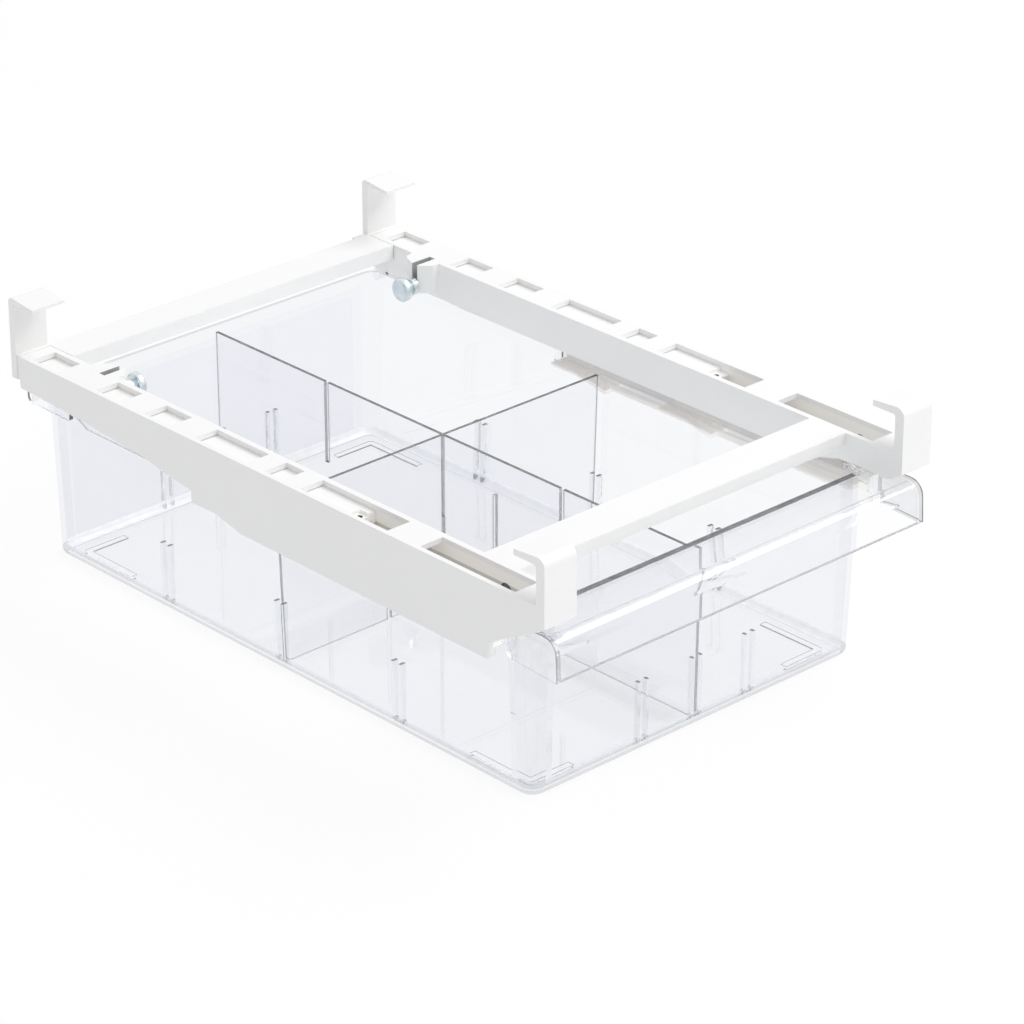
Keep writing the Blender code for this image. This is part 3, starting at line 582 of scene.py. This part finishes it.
def block(name, low, high):
    """A block between two corners."""
    deselect()
    bpy.ops.mesh.primitive_cube_add(size=1)
    made = bpy.context.object
    made.name = name
    made.location = (Vector(low) + Vector(high)) / 2
    made.scale = Vector(high) - Vector(low)
    settle(made)
    return made


def rod(name, centre, radius, length, axis):
    """A round bar about an axis, used to cut."""
    deselect()
    turn = {"X": (0, math.pi / 2, 0), "Z": (0, 0, 0)}[axis]
    bpy.ops.mesh.primitive_cylinder_add(
        vertices=ROD_SIDES, radius=radius, depth=length, location=centre, rotation=turn
    )
    made = bpy.context.object
    made.name = name
    settle(made)
    return made


# %% [markdown]
# The white frame: two rails, the front bar, the front hooks, the screw bosses
# and the ledges in one moulding. Near the front of each channel the photograph
# shows half of a dark round spot on the far wall. It is cut as a shallow
# round recess in both walls of both channels, and the recess is painted near
# black as painted shade. A rule then gives each face its finish. A face's
# normal has a length of one, so a part of it above `FACING` says that the face
# looks mostly that way.

# %% White frame
CHANNEL_IN = 88.1 * MM
CHANNEL_OUT = 99.6 * MM
RECESS_Y = FRAME_FRONT + 34.3 * MM
RECESS_Z = TOP - 9.6 * MM
RECESS_RADIUS = 3.0 * MM
RECESS_DEPTH = 0.9 * MM
RECESS_ROUNDING = 0.05 * MM
HIDDEN = 0.6 * MM
LEDGES_BELOW = TOP - 18.9 * MM
WEB_UNDERSIDE = TOP - 2.2 * MM
SLIT_END = 77.5 * MM
SLIT_HALF_WIDTH = 1.7 * MM
WHITE_EDGE = 0.28 * MM
FACING = 0.5


def in_channel_wall(side):
    inner = CHANNEL_IN - RECESS_DEPTH - NEAR < side < CHANNEL_IN - NEAR
    outer = CHANNEL_OUT + NEAR < side < CHANNEL_OUT + RECESS_DEPTH + NEAR
    return inner or outer


def frame_finish(centre, normal, area):
    side = abs(centre.x)
    in_channel = CHANNEL_IN - HIDDEN < side < CHANNEL_OUT + HIDDEN
    from_recess = math.hypot(centre.y - RECESS_Y, centre.z - RECESS_Z)
    # The recess is painted near black: painted shade.
    if from_recess < RECESS_RADIUS + RECESS_ROUNDING and in_channel_wall(side):
        return DEEP_SHADE
    if centre.z < LEDGES_BELOW and side < CHANNEL_OUT + HIDDEN:
        return LEDGE
    if in_channel and centre.z < WEB_UNDERSIDE:
        return CHANNEL_SHADE
    by_slit = abs(centre.y - SCREW_Y) < SLIT_HALF_WIDTH and abs(normal.x) < FACING
    if by_slit and SLIT_END < side < CHANNEL_IN and centre.z < TOP - NEAR:
        return SLIT_SHADE
    return WHITE


frame_moulding = merged_copy("front_frame", "frame_moulding")
for side in (-1, 1):
    middle = (side * (CHANNEL_IN + CHANNEL_OUT) / 2, RECESS_Y, RECESS_Z)
    reach = CHANNEL_OUT - CHANNEL_IN + 2 * RECESS_DEPTH
    cut_away(frame_moulding, rod("recess", middle, RECESS_RADIUS, reach, "X"))
mould_edges(frame_moulding, WHITE_EDGE)
dress(frame_moulding, (WHITE, CHANNEL_SHADE, LEDGE, DEEP_SHADE, SLIT_SHADE), frame_finish)
seat(frame_moulding, "front_frame", "frame")

# %% [markdown]
# The white slider: the rear bar, the rear hooks and the two arms. Each arm
# ends in a nose along its inner side, with a lower step beside it and a small
# round hole in the step, where the mould's pin stood. The step is a block cut
# away, the hole a round bar.
# The hole is painted near black: painted shade. In the rails the arms' sides get the channels'
# painted shade, and their decks a faint glow, painted light.

# %% White slider
DECK = TOP - 2.4 * MM
STEP_LENGTH = 4.8 * MM
STEP_DEPTH = 1.4 * MM
STEP_IN = 91.6 * MM
STEP_OUT = 103 * MM
HOLE_X = 94.2 * MM
HOLE_RADIUS = 1.3 * MM
HOLE_LENGTH = 3 * MM
ARM_IN_RAIL = 190 * MM
PAST = 1 * MM


def slider_finish(centre, normal, area):
    side = abs(centre.x)
    in_rail = CHANNEL_IN < side < CHANNEL_OUT
    from_hole = math.hypot(side - HOLE_X, centre.y - ARM_END - STEP_LENGTH / 2)
    # Painted shade in the hole and on the arms' sides, painted light on the decks.
    if in_rail and from_hole < HOLE_RADIUS and centre.z < DECK - STEP_DEPTH:
        return DEEP_SHADE
    if in_rail and centre.z < DECK + NEAR and centre.y < ARM_END + ARM_IN_RAIL:
        return CHANNEL_SHADE if normal.z < FACING else LIT_DECK_WHITE
    return WHITE


slider_moulding = merged_copy("rear_slider", "slider_moulding")
for side in (-1, 1):
    ends = sorted((side * STEP_IN, side * STEP_OUT))
    low = (ends[0], ARM_END - PAST, DECK - STEP_DEPTH)
    high = (ends[1], ARM_END + STEP_LENGTH, DECK + PAST)
    cut_away(slider_moulding, block("step", low, high))
    hole_centre = (side * HOLE_X, ARM_END + STEP_LENGTH / 2, DECK - STEP_DEPTH)
    cut_away(slider_moulding, rod("hole", hole_centre, HOLE_RADIUS, HOLE_LENGTH, "Z"))
mould_edges(slider_moulding, WHITE_EDGE)
dress(slider_moulding, (WHITE, CHANNEL_SHADE, DEEP_SHADE, LIT_DECK_WHITE), slider_finish)
seat(slider_moulding, "rear_slider", "slider")

# %% [markdown]
# The clear bin is one moulding, but a wall, a rim and a fold look different, so
# its faces need rules. First come its heights and depths: the walls, the floor,
# the rim, and the strips beside the corners and at the foot and the head of
# the walls. In a strip two faces that meet would show dark lines, so it gets
# the softer finish.

# %% Clear bin: walls, floor and strips
WALL_FRONT = BIN_LOW[1] + 22.9 * MM
WALL_EDGE = WALL_FRONT - 0.8 * MM
WALL_EDGE_INSIDE = WALL_FRONT + 3 * MM
BEHIND_HOOD = WALL_FRONT + 10 * MM
FRONT_INSIDE = WALL_FRONT + 3.4 * MM
REAR_WALL = BIN_HIGH[1]
REAR_INSIDE = REAR_WALL - 2.5 * MM
REAR_SKIN = REAR_WALL - 4 * MM
SIDE_WALL = 88.0 * MM
SIDE_SKIN = SIDE_WALL - 3 * MM
FLANGE_IN = SIDE_WALL + 1.4 * MM
CORNER_OUT = SIDE_WALL + 4 * MM
FLOOR_UNDER = BIN_LOW[2] + 0.6 * MM
FLOOR_TOP = FLOOR_UNDER + 2.0 * MM
FEET_BELOW = FLOOR_UNDER - 0.02 * MM
FOOT_OF_WALL = FLOOR_TOP + 2.6 * MM
HEAD_OF_WALL = RIM - 5 * MM
BELOW_RIM = RIM - 0.3 * MM
STRIP = 8.5 * MM
WIDE_STRIP = 12.5 * MM
RIM_END = 82.9 * MM
print("the bin's walls stand between y =", round(WALL_FRONT, 4), "and", round(REAR_WALL, 4))

# %% [markdown]
# The ribs hold the dividers. They stand in pairs on the walls' inner faces. A
# rib's top is a small dark dot, its narrow faces are fine lines, and its sides
# are almost invisible.

# %% Clear bin: ribs
INNER_FOOT = 84.5
LEAN = 2.6
WALL_HEIGHT = 76 * MM
MIDDLE_Y = (FRONT_INSIDE + REAR_INSIDE) / 2
RIBS_ACROSS = 35 * MM
RIBS_ALONG = 90 * MM
REAR_RIBS = REAR_WALL - 10 * MM
RIB_FOOT = FLOOR_TOP + 0.3 * MM
RIB_TOP = BIN_LOW[2] + 29.6 * MM
RIB_DOT = RIB_TOP - 0.5 * MM
NARROW_FACE = 8 * MM * MM


def inner_side(height):
    """The side wall's inner face at this height: the wall leans out."""
    return (INNER_FOOT + LEAN * (height - FLOOR_UNDER) / WALL_HEIGHT) * MM


def is_rib(centre):
    """Ribs are what stands off the walls inside, away from the corners."""
    side = abs(centre.x)
    within = side < inner_side(centre.z) - NEAR and FRONT_INSIDE < centre.y < REAR_INSIDE
    along = side < RIBS_ACROSS or abs(centre.y - MIDDLE_Y) < RIBS_ALONG
    return within and along and RIB_FOOT < centre.z < RIB_TOP + NEAR


def rib_finish(centre, narrow):
    if centre.z > RIB_DOT:
        return DOT
    if not narrow:
        return SOFT
    return FOLD if centre.y > REAR_RIBS else FAINT


# %% [markdown]
# The hood in front of the wall is the bin's handle. Its large faces get a
# lighter tint than the walls, which is painted light, its lower edge is a faint
# line, and the rims and folds of its ends are drawn by narrow faces. The broad
# faces of its ends get a white glowing finish, a painted highlight.

# %% Clear bin: hood
HOOD_END = BIN_HIGH[0] - 2.4 * MM
HOOD_RIM = BIN_HIGH[0] - 0.6 * MM
HOOD_BOTTOM = HOOD_TOP - 16.6 * MM
HOOD_MARGIN = 1 * MM
SLANTED = 0.2
FLAT_OUT = 0.96


def hood_finish(centre, normal):
    side = abs(centre.x)
    slant = abs(normal.x)
    if side > HOOD_RIM and slant < FLAT_OUT:
        return EDGE if centre.x > 0 else FAINT
    if side > HOOD_END - NEAR:
        if SLANTED < slant < FLAT_OUT:
            return FAINT
        if slant > FACING:
            # The broad faces of the ends get the painted highlight.
            return PAINTED_PALE if side > HOOD_END + HOOD_MARGIN else SOFT
        return FOLD if centre.x > 0 else SOFT
    return FAINT if normal.z < -FACING and centre.z < HOOD_BOTTOM + HOOD_MARGIN else HOOD_LIT


# %% [markdown]
# The rule for the whole bin asks first for ribs and hood, then for the rim, the
# feet, the strips, the flanges and the rear wall. What is left is plain wall. A
# part of the normal above `SQUARE_ON` means that a face looks straight that
# way. Faces that look to the right, to the rear or down need a wider strip.

# %% Clear bin: a finish for each face
SQUARE_ON = 0.9
STEEP = 0.05
LEVEL = 0.95


def bin_finish(centre, normal, area):
    side = abs(centre.x)
    narrow = area < NARROW_FACE
    if is_rib(centre):
        return rib_finish(centre, narrow)
    if centre.y < WALL_EDGE + NEAR:
        return hood_finish(centre, normal)
    upward = normal.z > FACING
    if upward and abs(centre.z - RIM) < NEAR:
        return FOLD
    if upward and abs(centre.z - HOOD_TOP) < NEAR and WALL_EDGE < centre.y < WALL_EDGE_INSIDE:
        return EDGE if side < RIM_END else SOFT
    if centre.z < FEET_BELOW:
        return EDGE if normal.z > -SQUARE_ON else CLEAR
    strip = WIDE_STRIP if normal.x + normal.y - normal.z > SQUARE_ON else STRIP
    at_side = SIDE_WALL - strip < side < CORNER_OUT
    at_end = centre.y < WALL_FRONT + strip or centre.y > REAR_WALL - strip
    if centre.z < FOOT_OF_WALL and (at_side or at_end):
        return FOLD if -LEVEL < normal.z < -STEEP else SOFT
    if at_side and at_end and centre.z < BELOW_RIM:
        return SOFT
    if side > FLANGE_IN and centre.y > BEHIND_HOOD:
        if narrow and abs(normal.y) > FACING:
            return EDGE
        return SOFT if normal.z < -FACING and centre.x > 0 else CLEAR
    at_head = centre.z > HEAD_OF_WALL - (strip - STRIP)
    by_wall = side > SIDE_SKIN or centre.y > REAR_SKIN
    if at_head and by_wall and centre.y > BEHIND_HOOD:
        return SOFT
    # The rear wall gets the darker tint, painted shade.
    return REAR_SHADED if centre.y > REAR_SKIN and side < SIDE_WALL else CLEAR


# %% [markdown]
# Now the bin itself. First the ribs' ends are moved back toward the walls. Once
# the edges are rounded, the mesh is cut apart along a few planes, so that the
# strips are faces of their own. The front wall's top edge, for one, is such a
# strip in the hood's flat top.

# %% Clear bin: shape and dress
RIB_TIP_SIDE = 80.5 * MM
RIB_TIP_FRONT = WALL_FRONT + 5.7 * MM
RIB_TIP_REAR = REAR_WALL - 4.8 * MM
SIDE_SHIFT = 2.4 * MM
END_SHIFT = 1.0 * MM
CLEAR_EDGE = 0.25 * MM


def shift_faces(test, step):
    """In edit mode, move the faces that pass the test and say how many they are."""
    found = pick_faces(test)
    bpy.ops.transform.translate(value=step)
    return found


bin_moulding = merged_copy("drawer_bin", "bin_moulding")
edit(bin_moulding)
moved = 0
for side in (-1, 1):
    moved += shift_faces(
        lambda centre, normal: (
            normal.x * side < -SQUARE_ON and abs(centre.x * side - RIB_TIP_SIDE) < NEAR
        ),
        (side * SIDE_SHIFT, 0, 0),
    )
for facing, tip in ((-1, RIB_TIP_REAR), (1, RIB_TIP_FRONT)):
    moved += shift_faces(
        lambda centre, normal: normal.y * facing > SQUARE_ON and abs(centre.y - tip) < NEAR,
        (0, -facing * END_SHIFT, 0),
    )
print("rib ends moved back:", moved)
bpy.ops.object.mode_set(mode="OBJECT")
cuts = []
for height in (FOOT_OF_WALL, HEAD_OF_WALL, HEAD_OF_WALL - WIDE_STRIP + STRIP):
    cuts.append(((0, 0, height), (0, 0, 1)))
cuts.append(((0, BEHIND_HOOD, 0), (0, 1, 0)))
for across in (SIDE_WALL - STRIP, SIDE_WALL - WIDE_STRIP, RIM_END, HOOD_END, HOOD_RIM):
    cuts += [((across, 0, 0), (1, 0, 0)), ((-across, 0, 0), (1, 0, 0))]
for along in (
    WALL_EDGE, WALL_FRONT, WALL_FRONT + STRIP, WALL_FRONT + WIDE_STRIP,
    REAR_WALL - STRIP, REAR_WALL - WIDE_STRIP,
):
    cuts.append(((0, along, 0), (0, 1, 0)))
mould_edges(bin_moulding, CLEAR_EDGE, cuts=cuts)
dress(bin_moulding, (CLEAR, EDGE, DOT, FOLD, FAINT, SOFT, HOOD_LIT, REAR_SHADED, PAINTED_PALE), bin_finish)
seat(bin_moulding, "drawer_bin", "drawer")

# %% [markdown]
# Where the floor meets the walls the moulding is filled out to a curve. The
# curve catches some real light, and its white, glowing finish paints a brighter
# band on top: a painted highlight. The curve is made from a low block as wide
# as the floor, out of which a taller block with rounded upright and lower
# edges is cut: what stays is a ring whose inner side is the curve.

# %% Curve round the bin's floor
COVE = 3.4 * MM
CORNER = 5.5 * MM
SKIN = 0.06 * MM
CURVE_STEPS = 6
CUTTER_HEIGHT = 20 * MM
SIDE_LAP = 0.05 * MM
END_LAP = 0.15 * MM
CURVE_FROM = 0.02
CURVE_TO = 0.98


def rounded_block(name, inset, low, high):
    """A block on the bin's floor whose four upright edges are rounded."""
    half = inner_side(FLOOR_TOP) - SIDE_LAP - inset
    front = FRONT_INSIDE - END_LAP + inset
    rear = REAR_INSIDE + END_LAP - inset
    made = block(name, (-half, front, low), (half, rear, high))
    edit(made)
    bpy.ops.mesh.select_mode(type="EDGE")
    work = bmesh.from_edit_mesh(made.data)
    for line in work.edges:
        along = line.verts[0].co - line.verts[1].co
        line.select_set(abs(along.normalized().z) > SQUARE_ON)
    bmesh.update_edit_mesh(made.data)
    bpy.ops.mesh.bevel(offset=CORNER - inset, segments=CURVE_STEPS, affect="EDGES")
    bpy.ops.mesh.select_mode(type="FACE")
    return made


cove = rounded_block("floor_cove", 0, FLOOR_TOP + SKIN, FLOOR_TOP + COVE)
hollow = rounded_block("hollow", SKIN, FLOOR_TOP, FLOOR_TOP + CUTTER_HEIGHT)
pick_faces(lambda centre, normal: normal.z < -SQUARE_ON)
bpy.ops.mesh.region_to_loop()
bpy.ops.mesh.bevel(offset=COVE, segments=CURVE_STEPS, affect="EDGES")
cut_away(cove, hollow)
pick(cove)
bpy.ops.object.shade_smooth_by_angle(angle=SHARP_FROM)
# The curve's faces get the painted highlight.
dress(
    cove,
    (PAINTED_BAND, SOFT),
    lambda centre, normal, area: PAINTED_BAND if CURVE_FROM < normal.z < CURVE_TO else SOFT,
)
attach(cove, "drawer")

# %% [markdown]
# The dividers are cut from sheet, so only a hair is taken off their edges, and
# everything but the two large faces has an edge finish, dark on top and
# fainter elsewhere.

# %% Dividers
LARGE_FACE = 600 * MM * MM
SHEET_EDGE = 0.12 * MM


def divider_finish(centre, normal, area):
    if area > LARGE_FACE:
        return CLEAR
    return EDGE if normal.z > FACING else FAINT


for node, name, body in (
    ("long_divider", "long_divider_sheet", "lengthwise_divider"),
    ("cross_divider", "cross_divider_sheet", "crosswise_divider"),
):
    sheet = merged_copy(node, name)
    mould_edges(sheet, SHEET_EDGE, steps=1)
    dress(sheet, (CLEAR, EDGE, FAINT), divider_finish)
    seat(sheet, node, body)

# %% [markdown]
# The thumbscrews are turned parts, and a turned part is a row of circles. Each
# station is a place along the axis and the radius there: the thread, the
# collar, the neck and the head with its rounded edges. The thread is drawn as
# rings, which is all that shows of it at this size.

# %% Thumbscrews: stations along the axis
HEAD = 5.15 * MM
NECK = 2.6 * MM
COLLAR = 3.8 * MM
CREST = 1.45 * MM
CORE = 1.22 * MM
THREAD_TIP = 1.05 * MM
TIP_LENGTH = 0.4 * MM
THREAD_ENDS = 9.0 * MM
PITCH = 0.5 * MM


def stations(length):
    """Distance from the head's face and radius, from the thread's end."""
    row = [(length, THREAD_TIP), (length - TIP_LENGTH, CREST)]
    turns = int((length - TIP_LENGTH - THREAD_ENDS) / PITCH)
    for turn in range(turns):
        place = length - TIP_LENGTH - turn * PITCH
        row += [(place - PITCH / 2, CORE), (place - PITCH, CREST)]
    row += [
        (8.2 * MM, CREST), (8.1 * MM, 3.45 * MM), (7.8 * MM, COLLAR),
        (5.8 * MM, COLLAR), (5.5 * MM, 3.5 * MM), (5.45 * MM, NECK),
        (3.3 * MM, NECK), (3.15 * MM, HEAD - 0.6 * MM), (2.7 * MM, HEAD - 0.1 * MM),
        (2.4 * MM, HEAD), (0.55 * MM, HEAD), (0.15 * MM, HEAD - 0.25 * MM),
        (0.0, HEAD - 0.6 * MM), (0.0, HEAD - 0.9 * MM), (0.12 * MM, HEAD - 1.05 * MM),
    ]
    return row


# %% [markdown]
# A disc is made at the threaded end. Then its face is extruded and resized from
# station to station, up to the head. `side` is -1 for the left screw, which
# points the other way.

# %% Thumbscrews: turning
SCREW_SIDES = 64
SCREW_SHARP_FROM = math.radians(40)


def thumbscrew(hand, node, side):
    low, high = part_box(node)
    length = high[0] - low[0]
    face = low[0] if side > 0 else high[0]
    row = stations(length)
    bpy.ops.mesh.primitive_circle_add(
        vertices=SCREW_SIDES, radius=row[0][1], fill_type="NGON",
        location=(face + side * row[0][0], SCREW_Y, SCREW_Z), rotation=(0, math.pi / 2, 0),
    )
    screw = bpy.context.object
    screw.name = hand + "_turned_screw"
    settle(screw)
    bpy.ops.object.mode_set(mode="EDIT")
    bpy.ops.mesh.select_all(action="SELECT")
    for (place, radius), (next_place, next_radius) in zip(row, row[1:]):
        step = side * (next_place - place)
        bpy.ops.mesh.extrude_region_move(TRANSFORM_OT_translate={"value": (step, 0, 0)})
        ratio = next_radius / radius
        centre = (face + side * next_place, SCREW_Y, SCREW_Z)
        bpy.ops.transform.resize(value=(1, ratio, ratio), center_override=centre)
    bpy.ops.mesh.select_all(action="SELECT")
    bpy.ops.mesh.normals_make_consistent(inside=False)
    bpy.ops.object.mode_set(mode="OBJECT")
    bpy.ops.object.shade_smooth_by_angle(angle=SCREW_SHARP_FROM)
    dress(screw, (ZINC,))
    seat(screw, node, hand + "_screw")


thumbscrew("left", "left_thumbscrew", -1)
thumbscrew("right", "right_thumbscrew", 1)

# %% [markdown]
# The nuts sit inside the rails and hardly show. Softer edges and the screws'
# own finish are enough for them.

# %% Clamp nuts
NUT_EDGE = 0.3 * MM
for hand in ("left", "right"):
    nut = merged_copy(hand + "_clamp_nut", hand + "_square_nut")
    mould_edges(nut, NUT_EDGE)
    dress(nut, (ZINC,))
    seat(nut, hand + "_clamp_nut", "frame")

# %% [markdown]
# The studio. A large white floor and a white world make the photograph's
# empty background. Rays from the camera, and rays that reflect or pass
# through the clear plastic, see that white, and the floor keeps a share of
# the object's own shadow.

# %% Floor
def seen_rays(network):
    """One where a ray comes from the camera, a mirror or clear plastic."""
    camera_ray = network.node("ShaderNodeLightPath", out="Is Camera Ray")
    mirror_ray = network.node("ShaderNodeLightPath", out="Is Glossy Ray")
    clear_ray = network.node("ShaderNodeLightPath", out="Is Transmission Ray")
    return (camera_ray + mirror_ray + clear_ray).clamp()


FLOOR_SIZE = 14
WHITE_SHARE = 0.88
PURE_WHITE = (1, 1, 1)
bpy.ops.mesh.primitive_plane_add(size=FLOOR_SIZE, location=(0, 0, 0))
floor = bpy.context.object
floor.name = "studio_floor"
ground = Finish("studio floor")
ground.set(Base_Color=(0.95, 0.95, 0.95, 1), Roughness=0.9)
glow = ground.node("ShaderNodeEmission", Color=(*PURE_WHITE, 1), Strength=1.0)
ground.cover(seen_rays(ground) * WHITE_SHARE, glow)
floor.data.materials.append(ground.material)

# %% [markdown]
# The world is white to the same rays. The world that lights the surfaces is
# weaker and a trace cool.

# %% World
AMBIENT = 0.68
AMBIENT_TINT = (0.975, 0.982, 1.0)
world = bpy.data.worlds.new("studio")
world.use_nodes = True
bpy.context.scene.world = world
sky = Network(world.node_tree)
seen = seen_rays(sky)
background = sky.tree.nodes["Background"].inputs
plug(sky.tree, background["Color"], sky.mix(seen, AMBIENT_TINT, PURE_WHITE))
plug(sky.tree, background["Strength"], seen * (1 - AMBIENT) + AMBIENT)
print("the object is lit by a world of strength", AMBIENT)

# %% [markdown]
# One large soft lamp stands high at the front right. It brightens the tops
# and the front faces, leaves the left faces a light grey, and its mirror image
# is the white band along the hood's curve.

# %% Key lamp
def area_lamp(name, place, turn, width, height, power):
    bpy.ops.object.light_add(type="AREA", location=place, rotation=turn)
    lamp = bpy.context.object
    lamp.name = name
    lamp.data.shape = "RECTANGLE"
    lamp.data.size = width
    lamp.data.size_y = height
    lamp.data.energy = power
    return lamp


KEY_DIRECTION = Vector((0.615, -0.40, 0.98))
KEY_DISTANCE = 3.2
key_place = KEY_DIRECTION.normalized() * KEY_DISTANCE
key_turn = key_place.to_track_quat("Z", "Y").to_euler()
area_lamp("key", key_place, key_turn, width=2.7, height=1.7, power=57)
print("key lamp at", [round(v, 2) for v in key_place])

# %% [markdown]
# White paper under the object throws light back up through the clear bin, and
# it reaches only what faces inwards. A low lamp under the floor of the bin
# does that here. It shines upwards and can't be seen itself.

# %% Light from below
UPWARDS = (math.pi, 0, 0)
paper = area_lamp(
    "paper_bounce", (0, 0, NEAR), UPWARDS, width=150 * MM, height=250 * MM, power=0.09
)
paper.visible_camera = False
paper.visible_glossy = False
paper.visible_transmission = False
bpy.context.scene.view_settings.view_transform = "Standard"
